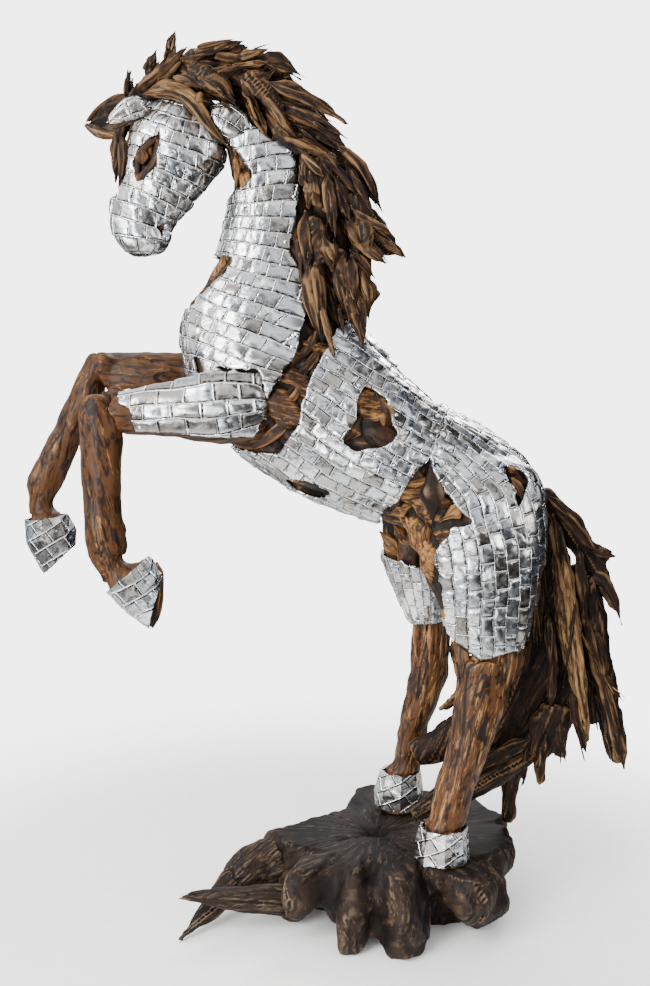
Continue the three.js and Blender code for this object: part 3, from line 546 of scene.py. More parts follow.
def stick(line, widths, seed, flat=0.5, sides=18, split=0.0):
    """Skin, quads and grain of a stick along a line of points; all lengths in metres. `split` goes from 0,
    rounded, to 1, split off along flat faces and torn to a point."""
    line = np.array(line, float)
    length = np.linalg.norm(np.diff(line, axis=0), axis=1).sum()
    rings = int(np.clip(length / 0.0048, 12, 60))
    t = np.linspace(0, 1, rings)
    path = np.stack([np.interp(t, np.linspace(0, 1, len(line)), line[:, k]) for k in range(3)], axis=1)
    for _ in range(rings // 2):
        path[1:-1] = (path[:-2] + 2 * path[1:-1] + path[2:]) / 4
    heading = np.gradient(path, axis=0)
    heading /= np.linalg.norm(heading, axis=1, keepdims=True)
    across = np.cross(heading, [0, 1, 0])
    across /= np.linalg.norm(across, axis=1, keepdims=True)
    outward = np.cross(across, heading)
    width = np.interp(t, np.linspace(0, 1, len(widths)), widths)
    to_end = np.clip(np.minimum(t, 1 - t) * length / ((0.4 + 0.4 * split) * width.max()), 0, 1)
    blunt = np.maximum(np.sqrt(1 - (1 - to_end) ** 2), 0.3)
    width = width * (blunt + split * (np.maximum(to_end, 0.2) - blunt))
    turn = np.linspace(0, 2 * np.pi, sides, endpoint=False)
    t, turn = np.meshgrid(t, turn, indexing="ij")
    wobble = np.stack([np.cos(turn), np.sin(turn), t * length / 0.05], axis=2).reshape(-1, 3)
    boxy = (np.abs(np.cos(turn)) ** 3 + np.abs(np.sin(turn)) ** 3) ** (-1 / 3)
    face = np.array([[k, seed, 0] for k in range(5)])
    aims = (np.arange(5) + 0.7 * scramble(face, 3)) * 2 * np.pi / 5
    towards = np.maximum(np.cos(turn[..., None] - aims - 0.8 * t[..., None]), 0.15)
    faceted = np.minimum(((0.68 + 0.3 * scramble(face, 4)) / towards).min(axis=2), 1.35)
    uneven = boxy + split * (faceted - boxy)
    uneven = uneven * (0.92 + (0.12 + 0.18 * split) * noise(wobble, 0.8, seed).reshape(t.shape))
    torn = noise(wobble * [1, 1, 0], 0.5, seed + 1).reshape(t.shape) * (1 - to_end)[:, None]
    torn = torn * 0.25 * width.max()
    u = np.cos(turn) * uneven * width[:, None] / 2
    v = np.sin(turn) * uneven * width[:, None] / 2 * flat
    skin = path[:, None] + across[:, None] * u[..., None] + outward[:, None] * v[..., None]
    skin = skin + heading[:, None] * torn[..., None]
    grid = np.arange(rings * sides).reshape(rings, sides)
    here, there = grid[:-1], grid[1:]
    quads = np.stack([here, there, np.roll(there, -1, 1), np.roll(here, -1, 1)], axis=2).reshape(-1, 4)
    k = np.arange(sides // 2 - 1)
    lid = np.stack([k, k + 1, sides - 2 - k, sides - 1 - k], axis=1)
    quads = np.concatenate([quads, lid, (lid + grid[-1, 0])[:, ::-1]])
    girth = 0.5 * width.max()
    grain = np.stack([t * length, np.cos(turn) * girth, np.sin(turn) * girth * flat], axis=2)
    grain = grain.reshape(-1, 3) + (seed % 97) * 0.173
    return skin.reshape(-1, 3), quads, grain


def bundle(name, sticks, material, slot, seed, replaced=(), groove=1.8, split=1.0, flat=0.5, sides=18):
    """Join sticks, given as (line, widths, shade), into one carved piece."""
    parts = [
        stick(line, widths, seed + 13 * i, flat, sides, split) for i, (line, widths, _) in enumerate(sticks)
    ]
    counts = [len(part[0]) for part in parts]
    starts = np.concatenate([[0], np.cumsum(counts)[:-1]])
    points = np.concatenate([part[0] for part in parts])
    quads = np.concatenate([part[1] + start for part, start in zip(parts, starts)])
    grain = np.concatenate([part[2] for part in parts])
    tone = np.repeat([shade for _, _, shade in sticks], counts)
    points, hollow = carve(points, quads, grain, seed, lump=2, groove=groove, spacing=11, crack=3, stretch=8)
    add_piece(name, points, quads, material, slot, replaced, grain=grain, hollow=hollow, tone=tone)


def traced(sticks, ground, lift, depth, step=3):
    """Sticks measured as (pixels, widths in pixels, shade), turned into metres."""
    made = []
    for order, (pixels, widths, shade) in enumerate(sticks):
        line = laid_line(pixels, ground, lift + step * (order % 4), depth)
        made.append((line, pixel_widths(*widths), shade))
    return made


def pixel_widths(*widths):
    """Widths in pixels, turned into metres at the horse's distance from the camera."""
    return [w * HORSE_DISTANCE / FOCAL_PX for w in widths]


def slivers(sticks, seed, count=2):
    """Thin splinters that stand off each stick, a little astray of it."""
    made = []
    for i, (line, widths, shade) in enumerate(sticks):
        for k in range(count):
            own = np.array([[i, k, seed]])
            slide, sway, size, turn = [scramble(own, seed + n)[0] * 2 - 1 for n in range(4)]
            start, end = np.array(line[0]), np.array(line[-1])
            across = np.cross(end - start, [0, 1, 0])
            across /= np.linalg.norm(across)
            middle = start + (end - start) * (0.55 + 0.3 * slide) + across * sway * 0.35 * max(widths)
            half = (end - start) * (0.25 + 0.1 * size) + across * turn * 0.07 * np.linalg.norm(end - start)
            raised = [0, -0.25 * max(widths) * np.sign(-start[1] or 1), 0]
            thick = max(widths) * (0.26 + 0.1 * size)
            line_of_sliver = [middle - half + raised, middle + half + raised]
            made.append((line_of_sliver, [thick, thick, thick * 0.35], 0.5 + 0.5 * turn))
    return made


print("a 100 mm stick has", len(stick([(0, 0, 0), (0.1, 0, 0)], [0.02], 1)[0]), "vertices")

# %% [markdown]
# ## Root base
# The base is one old root, sawn level underneath. Its deck runs out into lobes that reach the floor, so its
# skin is smoothed until deck and lobes flow together, and the grain is carved outwards and down each lobe.


# %% Root base
def outward_grain(points, centre):
    """Grain that runs outwards from a centre and down, as wood does where roots leave a trunk."""
    offset = points[:, :2] - centre
    reach = np.hypot(offset[:, 0], offset[:, 1])
    angle = np.arctan2(offset[:, 1], offset[:, 0]) + 0.07 * noise(points, 0.07, 17)
    return np.stack([reach - points[:, 2], angle * 0.22, points[:, 2] * 0.3], axis=1)


def on_floor(points):
    points[:, 2] = np.maximum(points[:, 2], 0)
    return points


DECK_CENTRE = np.array([0.2, 0.09])
LOBES = [
    (seen_at([(318, 858), (303, 888), (292, 920)], -0.10, -0.17, -0.20), pixel_widths(34, 44, 26)),
    (seen_at([(345, 862), (347, 905), (349, 948)], -0.13, -0.21, -0.25), pixel_widths(34, 42, 24)),
    (seen_at([(396, 864), (402, 910), (408, 956)], -0.14, -0.22, -0.26), pixel_widths(46, 58, 38)),
    (seen_at([(452, 860), (468, 890), (481, 921)], -0.12, -0.19, -0.20), pixel_widths(46, 58, 38)),
]
VALLEYS = [(-10, -240), (112, -270), (222, -255), (370, 90), (150, 330), (-20, 240)]  # mm
lobes = [stick(line, widths, 15 + k, flat=0.9)[:2] for k, (line, widths) in enumerate(LOBES)]
points, quads = even_skin(["root_base"], 0.012, 2, 1, 0.003, lobes)
offset = points[:, :2] - DECK_CENTRE
reach = np.hypot(offset[:, 0], offset[:, 1])
angle = np.arctan2(offset[:, 1], offset[:, 0])
cut = np.zeros(len(points))
for x, y in VALLEYS:
    off = np.angle(np.exp(1j * (angle - math.atan2(y * MM - DECK_CENTRE[1], x * MM - DECK_CENTRE[0]))))
    cut = np.maximum(cut, np.exp(-((off / 0.08) ** 2)))
cut *= smooth_step(0.18, 0.30, reach) * smooth_step(0.0, 0.03, points[:, 2])
points[:, :2] -= offset / reach[:, None] * (cut * 0.03)[:, None]
deck = smooth_step(0.157, 0.166, points[:, 2])
PIT = np.array([0.125, 0.02])
grain = np.where(deck[:, None] > 0.5, outward_grain(points, PIT), outward_grain(points, DECK_CENTRE))
points, hollow = carve(points, quads, grain, 11, lump=6, groove=3.2, spacing=20, crack=8, stretch=9)
# The pit in the middle of the deck
pit = np.exp(-((((points[:, :2] - PIT) / [0.035, 0.02]) ** 2).sum(axis=1))) * deck
points[:, 2] -= 0.02 * pit
cracks = np.zeros(len(points))
for bearing, reach_mm in ((205, 260), (150, 190), (300, 170), (20, 200), (75, 210)):
    away = points[:, :2] - PIT
    ahead = away @ [math.cos(math.radians(bearing)), math.sin(math.radians(bearing))]
    aside = away @ [-math.sin(math.radians(bearing)), math.cos(math.radians(bearing))]
    aside = aside + 0.006 * noise(points, 0.03, 14)
    open_mm = 5 * np.clip(1 - ahead / (reach_mm * MM), 0, 1) * (ahead > 0)
    cracks = np.maximum(cracks, deck * smooth_step(1.0, 0.3, np.abs(aside) / MM / np.maximum(open_mm, 0.01)))
points[:, 2] -= 0.008 * cracks
# Painted shade: the pit, the deck's cracks and the valleys between the lobes are darkened, and the deck's
# ridges get less painted highlight
hollow = np.maximum(hollow, -1 + 0.6 * deck)
hollow = np.clip(hollow + pit + cracks + 0.5 * cut * (1 - deck), -1, 1)
points = on_floor(points)
points[:, 2] = np.minimum(points[:, 2], 0.1685)
tone = 0.45 + 0.3 * noise(points, 0.09, 12) - 0.36 * deck
layers = {"grain": grain, "hollow": hollow, "tone": tone}
add_piece("root_base_wood", points, quads, root_wood, "root_wood", ["root_base"], **layers)

for seed, name in enumerate(["root_arm", "root_spur"]):
    points, quads, layers = carved(
        name, 0.008, 4, 0.002, 21 + seed, lump=4, groove=3.5, spacing=18, crack=6, stretch=9
    )
    points = on_floor(points)
    tone = 0.5 + 0.3 * noise(points, 0.07, 23)
    add_piece(name + "_wood", points, quads, root_wood, "root_wood", [name], tone=tone, **layers)

# %% [markdown]
# ## Legs
# The legs are peeled branches: honey wood with dark blotches, long shallow grooves and a few knots. Each is
# one piece with its hoof's core, so it is rounded a little and carved along its length.

# %% Legs
LEGS = ["near_hind_leg", "far_hind_leg", "near_fore_cannon", "far_fore_cannon", "near_forearm", "far_forearm"]
# The far foreleg is thicker under its forearm, and its knee is a round knob
KNOBS = {
    "far_forearm": [
        (seen_at([(100, 374), (140, 379), (190, 378)], 0.09), pixel_widths(44, 58, 58)),
        (seen_at([(92, 371), (102, 367), (115, 370)], 0.075), pixel_widths(34, 46, 40)),
    ],
    "far_fore_cannon": [(seen_at([(92, 378), (95, 368), (97, 356)], 0.11), pixel_widths(26, 26, 18))],
    "near_forearm": [(seen_at([(100, 397), (112, 395), (128, 399)], -0.1), pixel_widths(16, 29, 30))],
    "near_fore_cannon": [
        (seen_at([(92, 420), (98, 410), (104, 402)], -0.115), pixel_widths(34, 38, 30)),
        (seen_at([(118, 522), (120, 530), (122, 536)], -0.115), pixel_widths(12, 15, 9)),
    ],
}
for seed, name in enumerate(LEGS):
    knobs = KNOBS.get(name, [])
    added = [stick(line, widths, 61 + k, flat=0.8)[:2] for k, (line, widths) in enumerate(knobs)]
    points, quads, layers = carved(
        name, 0.009, 6, 0.0025, 31 + 5 * seed, added, lump=4.0, groove=0.7, spacing=14, crack=2.0, stretch=7
    )
    cap = name.replace("_leg", "_hoof_cap").replace("_cannon", "_hoof_cap")
    if cap in nodes:
        low, high = [np.array(corner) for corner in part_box(cap)]
        shod = ((points > low - 0.004) & (points < high + 0.004)).all(axis=1)
        points = points - normals_of(points, quads) * (shod * 0.006)[:, None]
    tone = np.full(len(points), 0.64 if "hind" in name else 0.47)
    add_piece(name + "_wood", points, quads, leg_wood, "horse_wood", [name], tone=tone, **layers)

# %% [markdown]
# ## The body under the metal
# Neck, trunk and haunches are one mass of driftwood chunks, glued and rounded. The smooth skin of that mass
# is made once. The metal sheets are lifted off it, and where they leave gaps, the same skin is carved into
# chunks that sink away behind the sheets' edges.


# %% Body and head skins
def measured_along(points, axis, girths):
    """Place along a bent axis and around it, both in metres. The axis is a list of side-view points in mm.
    Around starts at the underside, and its two ends meet at the back."""
    corners = np.array(axis, float) * MM
    reach = np.concatenate([[0], np.cumsum(np.linalg.norm(np.diff(corners, axis=0), axis=1))])
    steps = np.linspace(0, reach[-1], 160)
    path = np.stack([np.interp(steps, reach, corners[:, k]) for k in (0, 1)], axis=1)
    for _ in range(60):
        path[1:-1] = (path[:-2] + 2 * path[1:-1] + path[2:]) / 4
    side = points[:, [0, 2]]
    nearest = np.concatenate([
        np.argmin(((block[:, None] - path[None]) ** 2).sum(axis=2), axis=1)
        for block in np.array_split(side, max(1, len(side) // 20000))
    ])
    heading = np.gradient(path, axis=0)
    heading /= np.linalg.norm(heading, axis=1, keepdims=True)
    offset = side - path[nearest]
    along = steps[nearest] + (offset * heading[nearest]).sum(axis=1)
    towards_back = offset[:, 0] * -heading[nearest][:, 1] + offset[:, 1] * heading[nearest][:, 0]
    around = np.arctan2(-points[:, 1], -towards_back)
    girth = np.interp(steps[nearest] / reach[-1], np.linspace(0, 1, len(girths)), np.array(girths) * MM)
    return along, around * girth


DETAIL = 2


def skin_of(name, voxel, relax, plump):
    """A node's smooth skin: vertices, quads and normals."""
    points, quads = even_skin([name], voxel, relax, DETAIL, plump)
    return points, quads, normals_of(points, quads)


body_skin = skin_of("carcass", 0.016, 11, 0.0075)
head_skin = skin_of("head", 0.012, 4, 0.003)
arm_skin = skin_of("near_forearm", 0.013, 3, 0.0025)
body, head, arm = body_skin[0], head_skin[0], arm_skin[0]
print("body skin", len(body), "vertices; head skin", len(head))


# %% [markdown]
# ## Laying the tiles
# Each sheet is the part of a skin that its CAD solid covers, found by looking straight through the solid
# from the side. The edge is shaken a little, because the real edge was cut by hand. Then every tile is
# domed, dented and tipped its own way by a few degrees, and the rim is turned down onto the wood.


# %% Cladding tools
def covered(points, name, ragged=4.5):
    """True where a CAD sheet covers a point, seen from the point's own side of the horse."""
    sheet = ground_of([name])
    low, high = [np.array(corner)[[0, 2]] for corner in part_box(name)]
    shake = np.stack([noise(points, 0.016, 71), noise(points, 0.016, 72)], axis=1) * ragged * MM
    shake += np.stack([noise(points, 0.045, 73), noise(points, 0.045, 74)], axis=1) * ragged * MM
    sample = points[:, [0, 2]] + shake
    sample += ((low + high) / 2 - sample) * 0.012
    inside = np.zeros(len(points), bool)
    near_box = (sample > low).all(axis=1) & (sample < high).all(axis=1)
    for i in np.nonzero(near_box)[0]:
        x, z = sample[i]
        side = -1.0 if points[i, 1] < 0 else 1.0
        inside[i] = sheet.ray_cast((x, side, z), (0, -side, 0), 0.995)[0] is not None
    return inside


def without_slits(inside, quads, normals, steps):
    """Close slits along the spine and belly: grow the cover, shrink it again and keep what that won."""
    wider = inside.copy()
    for grow in [True] * steps + [False] * steps:
        wider[quads[(wider[quads] == grow).any(axis=1)].ravel()] = grow
    return inside | (wider & (np.abs(normals[:, 1]) < 0.6))


def tile_relief(tile):
    """Height in mm of hammered tiles over the flat sheet, from the place on the sheet."""
    row = np.floor(tile[:, 1] / TILE_HEIGHT)
    shift = np.where(row % 2 == 0, TILE_LENGTH / 2, 0)
    column = np.floor((tile[:, 0] + shift) / TILE_LENGTH)
    u = (tile[:, 0] + shift) / TILE_LENGTH - column - 0.5
    v = tile[:, 1] / TILE_HEIGHT - row - 0.5
    own = np.stack([column, row, np.zeros(len(row))], axis=1).astype(np.int64) + 4000
    tip, lean, rise = [scramble(own, k) * 2 - 1 for k in (81, 82, 83)]
    dome = (1 - (2 * u) ** 4) * (1 - (2 * v) ** 4)
    dents = noise(np.c_[tile[:, :2], own[:, 0] * 0.013], 0.017, 84)
    return 1.8 * dome + 4.6 * (tip * u + lean * v) * dome**0.3 + 0.7 * rise + 1.6 * dents * dome


NAIL_SPACING = 80 * MM
SHEET_LIFT = 2.2  # mm over the wood
RIM_DEPTH = 7.0  # mm that a rim is turned down
nails = []


def nail_edge(points, out, rim_points):
    """Note a nail every so often along a sheet's rim, some 10 mm in from the edge."""
    rim_places = points[rim_points]
    taken = []
    for place in rim_places[np.argsort(scramble(np.round(rim_places * 1e4).astype(np.int64), 95))]:
        if taken and np.linalg.norm(np.array(taken) - place, axis=1).min() < NAIL_SPACING:
            continue
        taken.append(place)
        gap = np.linalg.norm(points - place, axis=1)
        choice = np.nonzero((gap > 8 * MM) & (gap < 13 * MM))[0]
        if len(choice):
            from_rim = np.linalg.norm(points[choice, None] - rim_places[None], axis=2).min(axis=1)
            best = choice[np.argmax(from_rim)]
            nails.append((points[best], out[best]))


def lay_sheet(name, skin, tile, mask=None):
    """The tiled sheet that a CAD cladding solid stands for. `tile` is each point's place on the sheet."""
    skin, skin_quads, skin_normals = skin
    inside = covered(skin if mask is None else mask, name)
    inside = without_slits(inside, skin_quads, skin_normals, 6)
    kept = skin_quads[inside[skin_quads].all(axis=1)]
    used, index = np.unique(kept, return_inverse=True)
    quads = index.reshape(kept.shape)
    tile = tile[used]
    edges = np.concatenate([quads[:, [k, (k + 1) % 4]] for k in range(4)])
    _, first, count = np.unique(np.sort(edges, axis=1), axis=0, return_index=True, return_counts=True)
    rim = edges[first[count == 1]]
    points = skin[used].copy()
    for _ in range(3):  # even out the steps that the quads leave along the rim
        total = np.zeros_like(points)
        met = np.zeros(len(points))
        for a, b in (rim.T, rim.T[::-1]):
            np.add.at(total, a, points[b])
            np.add.at(met, a, 1)
        on_rim = met > 0
        points[on_rim] = 0.5 * points[on_rim] + 0.5 * total[on_rim] / met[on_rim, None]
    relief = tile_relief(tile)
    relief[on_rim] = 0.8
    out = skin_normals[used]
    points = points + out * ((SHEET_LIFT + relief) * MM)[:, None]
    below = points - out * RIM_DEPTH * MM
    rim_points = np.nonzero(on_rim)[0]
    nail_edge(points, out, rim_points)
    renumber = np.full(len(points), -1)
    renumber[rim_points] = len(points) + np.arange(len(rim_points))
    skirt = np.stack([rim[:, 1], rim[:, 0], renumber[rim[:, 0]], renumber[rim[:, 1]]], axis=1)
    points = np.concatenate([points, below[rim_points]])
    tile = np.concatenate([tile, tile[rim_points]])
    quads = np.concatenate([quads, skirt])
    layer = np.c_[tile[:, :2], np.zeros(len(tile))]
    add_piece(name + "_tiles", points, quads, aluminium, "sheet_metal", [name], tile=layer)
    return inside


def tile_places(points, axis, girths, rings=False, middle=0.0):
    """Each point's place on a sheet, shaken a little as hand-cut tiles are. Rows of tiles run along the axis
    or, as `rings`, around it. `middle` is how far a limb lies from the horse's middle plane."""
    along, around = measured_along(points - [0, middle, 0], axis, girths)
    tile = np.c_[around, along] if rings else np.c_[along, around]
    wander = np.stack([noise(points, 0.07, 91), noise(points, 0.07, 92)], axis=1) * 5 * MM
    jitter = np.stack([noise(points, 0.022, 93), noise(points, 0.022, 94)], axis=1) * 1.6 * MM
    return tile + wander + jitter


print("a tile's middle stands", tile_relief(np.array([[TILE_LENGTH, TILE_HEIGHT / 2]])).round(1), "mm proud")

# %% Neck, barrel, hip and thigh sheets
NECK_AXIS = [(-190, 1900), (-165, 1760), (-150, 1650), (-150, 1560), (-172, 1460)]
CHEST_AXIS = [(-210, 1360), (-252, 1250), (-265, 1150), (-262, 1030)]
BARREL_AXIS = [(-220, 1300), (-60, 1215), (60, 1135), (200, 1060), (340, 1000)]
HIP_AXIS = [(150, 1130), (262, 1078), (330, 1000), (358, 900), (366, 780), (362, 600)]
FAR_THIGH_AXIS = [(250, 1000), (248, 850), (258, 700), (262, 600)]
NECK_GIRTHS = [60, 75, 90, 105, 125, 150, 165]
neck_tiles = tile_places(body, NECK_AXIS + CHEST_AXIS, NECK_GIRTHS, rings=True)
body_metal = lay_sheet("neck_cladding", body_skin, neck_tiles)
body_metal |= lay_sheet("barrel_cladding", body_skin, tile_places(body, BARREL_AXIS, [165]))
body_metal |= lay_sheet("hip_cladding", body_skin, tile_places(body, HIP_AXIS, [190]))
thigh_tiles = tile_places(body, FAR_THIGH_AXIS, [120], middle=0.13)
body_metal |= lay_sheet("far_thigh_cladding", body_skin, thigh_tiles)

# %% Head and forearm sheets
HEAD_AXIS = [(-290, 1900), (-320, 1800), (-345, 1720), (-385, 1630), (-405, 1570), (-410, 1500)]
FOREARM_AXIS = [(-60, 1205), (-250, 1190), (-520, 1176)]
LARGER = 1.45  # the forearm's tiles are the largest
head_metal = lay_sheet("head_cladding", head_skin, tile_places(head, HEAD_AXIS, [85, 90, 75, 60], rings=True))
longer = arm - np.outer(smooth_step(-0.32, -0.18, arm[:, 0]) * 0.045, [1, 0, 0])
longer[arm_skin[2][:, 2] < -0.6, 2] -= 1  # the sheet leaves a strip of wood bare along the arm's underside
forearm_tiles = tile_places(arm, FOREARM_AXIS, [70], middle=-0.11) / LARGER
lay_sheet("forearm_cladding", arm_skin, forearm_tiles, mask=longer)

# %% [markdown]
# ## Nail heads
# Round-headed nails hold the sheets, one every 80 mm or so along the edges, where a hand would set them. Each
# head is a stack of shrinking rings. The lowest rings read a place on a fold's shadow line, so that they take
# its
# painted shadow: a ring of painted shade round each head.

# %% Nail heads
NAIL_RINGS = [(4.6, -2.0), (4.4, 0.6), (3.6, 1.9), (1.8, 2.7)]  # radius and height in mm
SIDES = 10
turn = np.linspace(0, 2 * np.pi, SIDES, endpoint=False)
points, quads, tile = [], [], []
for place, out in nails:
    across = np.cross(out, [0.3, 0.1, 0.9])
    across /= np.linalg.norm(across)
    other = np.cross(out, across)
    start = len(points) * SIDES
    for ring, (radius, height) in enumerate(NAIL_RINGS):
        circle = np.outer(np.cos(turn), across) + np.outer(np.sin(turn), other)
        points.append(place + circle * radius * MM + out * height * MM)
        # The two lowest rings sit on a fold's shadow line, which gives each head a ring of painted shade
        tile.append(np.tile([0.02, 0.015 if ring > 1 else -0.0018, 0], (SIDES, 1)))
    grid = start + np.arange(len(NAIL_RINGS) * SIDES).reshape(-1, SIDES)
    here, there = grid[:-1], grid[1:]
    quads.append(np.stack([here, np.roll(here, -1, 1), np.roll(there, -1, 1), there], axis=2).reshape(-1, 4))
    k = np.arange(SIDES // 2 - 1)
    quads.append(grid[-1, 0] + np.stack([k, k + 1, SIDES - 2 - k, SIDES - 1 - k], axis=1))
heads, quads = np.concatenate(points), np.concatenate(quads)
add_piece("nail_heads", heads, quads, aluminium, "sheet_metal", tile=np.concatenate(tile))

# %% [markdown]
# ## Glued chunks in the gaps
# Between the sheets the body is a jigsaw of driftwood chunks, longer than they are wide, with dark glue lines
# between. Only the skin that can be seen is kept, with a margin under the sheets' edges.


# %% Carcass and head wood
def chunk_wood(name, skin, metal, axis, sink, size, seed):
    """The wood of a node's skin outside its sheets: sunk, split into chunks and carved along the grain."""
    skin, quads, normals = skin
    cover = metal.astype(float)
    for _ in range(5):
        np.minimum.at(cover, quads.ravel(), cover[quads].mean(axis=1).repeat(4))
    shown = quads[(cover[quads] < 0.98).any(axis=1)]
    used, index = np.unique(shown, return_inverse=True)
    faces = index.reshape(shown.shape)
    points, out = skin[used], normals[used]
    along, around = measured_along(points, axis, [120])
    grain = np.stack([along, around, points[:, 1]], axis=1)
    warp = points + np.stack([noise(points, 0.05, seed + k) for k in (1, 2, 3)], axis=1) * 0.012
    stretched = np.stack([along / 1.9, around, points[:, 1] * 0.4], axis=1) + (warp - points)
    edge, owner = chunks(stretched, size * MM, seed)
    body_of_chunk = smooth_step(0.02, 0.30, edge)
    depth = -sink * (1 - cover[used]) + 9 * (owner - 0.5) * body_of_chunk - 9 * (1 - body_of_chunk)
    points = points + out * (depth * (1 - 0.6 * cover[used]) * MM)[:, None]
    turned = grain @ np.array([[0.9, -0.44, 0], [0.44, 0.9, 0], [0, 0, 1]])
    own_grain = np.where((owner > 0.55)[:, None], turned, grain) + owner[:, None] * 3
    points, hollow = carve(points, faces, own_grain, seed + 9, lump=1.5, groove=1.5, spacing=11, crack=2.5)
    # Painted shade in the chunks' grooves, plus dark glue lines along their edges
    hollow = np.clip(hollow * 0.8 + 1.1 * (1 - smooth_step(0.02, 0.16, edge)), 0, 1)
    layers = {"grain": own_grain, "hollow": hollow, "tone": owner}
    add_piece(name + "_wood", points, faces, core_wood, "horse_wood", [name], **layers)


BODY_AXIS = NECK_AXIS + [(-150, 1360), (-90, 1265)] + BARREL_AXIS[2:]
chunk_wood("carcass", body_skin, body_metal, BODY_AXIS, 7, 62, 101)
chunk_wood("head", head_skin, head_metal, HEAD_AXIS, 3, 60, 131)

# %% [markdown]
# ## Hoof caps
# The hooves are wrapped in thin sheet that was crimped in place, so they look like crumpled foil with a few
# folded joints. The cap's own solid is cut finer and pushed in and out from the hoof's middle: inner and
# outer face move together, and the sheet keeps its thickness.

# %% Hoof caps
for seed, name in enumerate(["near_fore", "far_fore", "near_hind", "far_hind"]):
    finer = 3 if "near" in name else 2
    cut = {"subdivision_type": "SIMPLE", "levels": finer, "render_levels": finer}
    points, quads = worked(nodes[name + "_hoof_cap"].data.copy(), ("SUBSURF", cut))
    centre = points.mean(axis=0)
    out = points - centre
    out /= np.linalg.norm(out, axis=1, keepdims=True)
    edge, owner = chunks(points, 0.026, 141 + seed)
    crumple = 2.0 * (owner - 0.4) + 1.6 * noise(points, 0.012, 151 + seed)
    crumple = crumple + 1.5 * smooth_step(0.1, 0, edge) + 1.2
    points = points + out * (crumple * MM)[:, None]
    angle = np.arctan2(points[:, 1] - centre[1], points[:, 0] - centre[0])
    turn = angle * 0.045
    tile = np.c_[turn * 0.8 + points[:, 2] * 0.5, points[:, 2] * 0.8 - turn * 0.5, np.zeros(len(points))]
    add_piece(name + "_hoof_foil", points, quads, aluminium, "sheet_metal", [name + "_hoof_cap"], tile=tile)

# %% [markdown]
# ## Mane
# Under the sticks that show lie broader locks, as in the CAD. They are carved deep and kept dark as painted
# shade, so that the gaps between the sticks look deep. The far side gets the same sticks, a little broader
# and shaken, laid where a line across the horse meets it.

# %% Mane locks
MANE = sorted(name for name in nodes if name.startswith(("mane_lock", "far_mane", "face_lock")))
for seed, name in enumerate(MANE):
    points, quads, layers = carved(
        name, 0.011, 1, 0.001, 201 + 7 * seed, lump=4, groove=2.8, spacing=12, crack=5, stretch=8
    )
    # The locks' low tone is painted shade for the gaps between the sticks
    tone = np.full(len(points), 0.3 * ((seed * 0.618) % 1))
    add_piece(name + "_wood", points, quads, mane_wood, "mane_wood", [name], tone=tone, **layers)

# %% Mane sticks
CROWN_STICKS = [
    ([(137, 93), (162, 70), (187, 46)], (9, 13, 5), 0.7),
    ([(147, 72), (152, 60), (156, 50)], (9, 10, 6), 0.2),
    ([(165, 56), (171, 43), (175, 31)], (7, 7, 5), 0.5),
    ([(166, 52), (168, 44), (169, 36)], (5, 5, 3), 0.7),
    ([(127, 97), (128, 84), (130, 70)], (9, 8, 6), 0.5),
    ([(157, 82), (171, 68), (186, 55)], (12, 13, 8), 0.75),
    ([(184, 55), (214, 51), (243, 41)], (14, 14, 9), 0.8),
    ([(200, 71), (226, 68), (268, 63)], (8, 9, 6), 1.0),
    ([(177, 76), (189, 80), (201, 87)], (15, 16, 9), 0.6),
    ([(199, 77), (221, 82), (238, 110)], (14, 19, 9), 0.65),
    ([(237, 56), (252, 53), (267, 49)], (9, 9, 6), 0.85),
    ([(240, 77), (248, 90), (252, 103)], (11, 11, 9), 0.5),
    ([(214, 52), (232, 58), (258, 60)], (12, 12, 8), 0.55),
    ([(183, 63), (200, 66), (222, 62)], (10, 11, 6), 0.5),
    ([(194, 97), (205, 103), (220, 106)], (12, 15, 11), 0.35),
]
CREST_STICKS = [
    ([(254, 58), (276, 60), (303, 77)], (9, 20, 4), 0.45),
    ([(236, 76), (256, 80), (274, 72)], (13, 22, 8), 0.7),
    ([(268, 82), (305, 96), (346, 123)], (12, 19, 5), 0.5),
    ([(283, 104), (315, 119), (347, 139)], (10, 14, 6), 0.55),
    ([(290, 122), (318, 135), (345, 152)], (10, 15, 6), 0.6),
    ([(246, 94), (257, 110), (266, 136)], (8, 9, 10), 1.0),
    ([(260, 93), (279, 112), (290, 136)], (8, 11, 11), 0.9),
    ([(291, 137), (317, 151), (343, 166)], (10, 13, 9), 0.65),
    ([(299, 150), (311, 163), (323, 176)], (8, 9, 6), 0.85),
    ([(342, 152), (364, 174), (382, 211)], (12, 17, 4), 0.55),
    ([(322, 158), (342, 172), (357, 196)], (10, 12, 6), 0.3),
    ([(347, 165), (362, 190), (374, 214)], (9, 11, 6), 0.2),
]
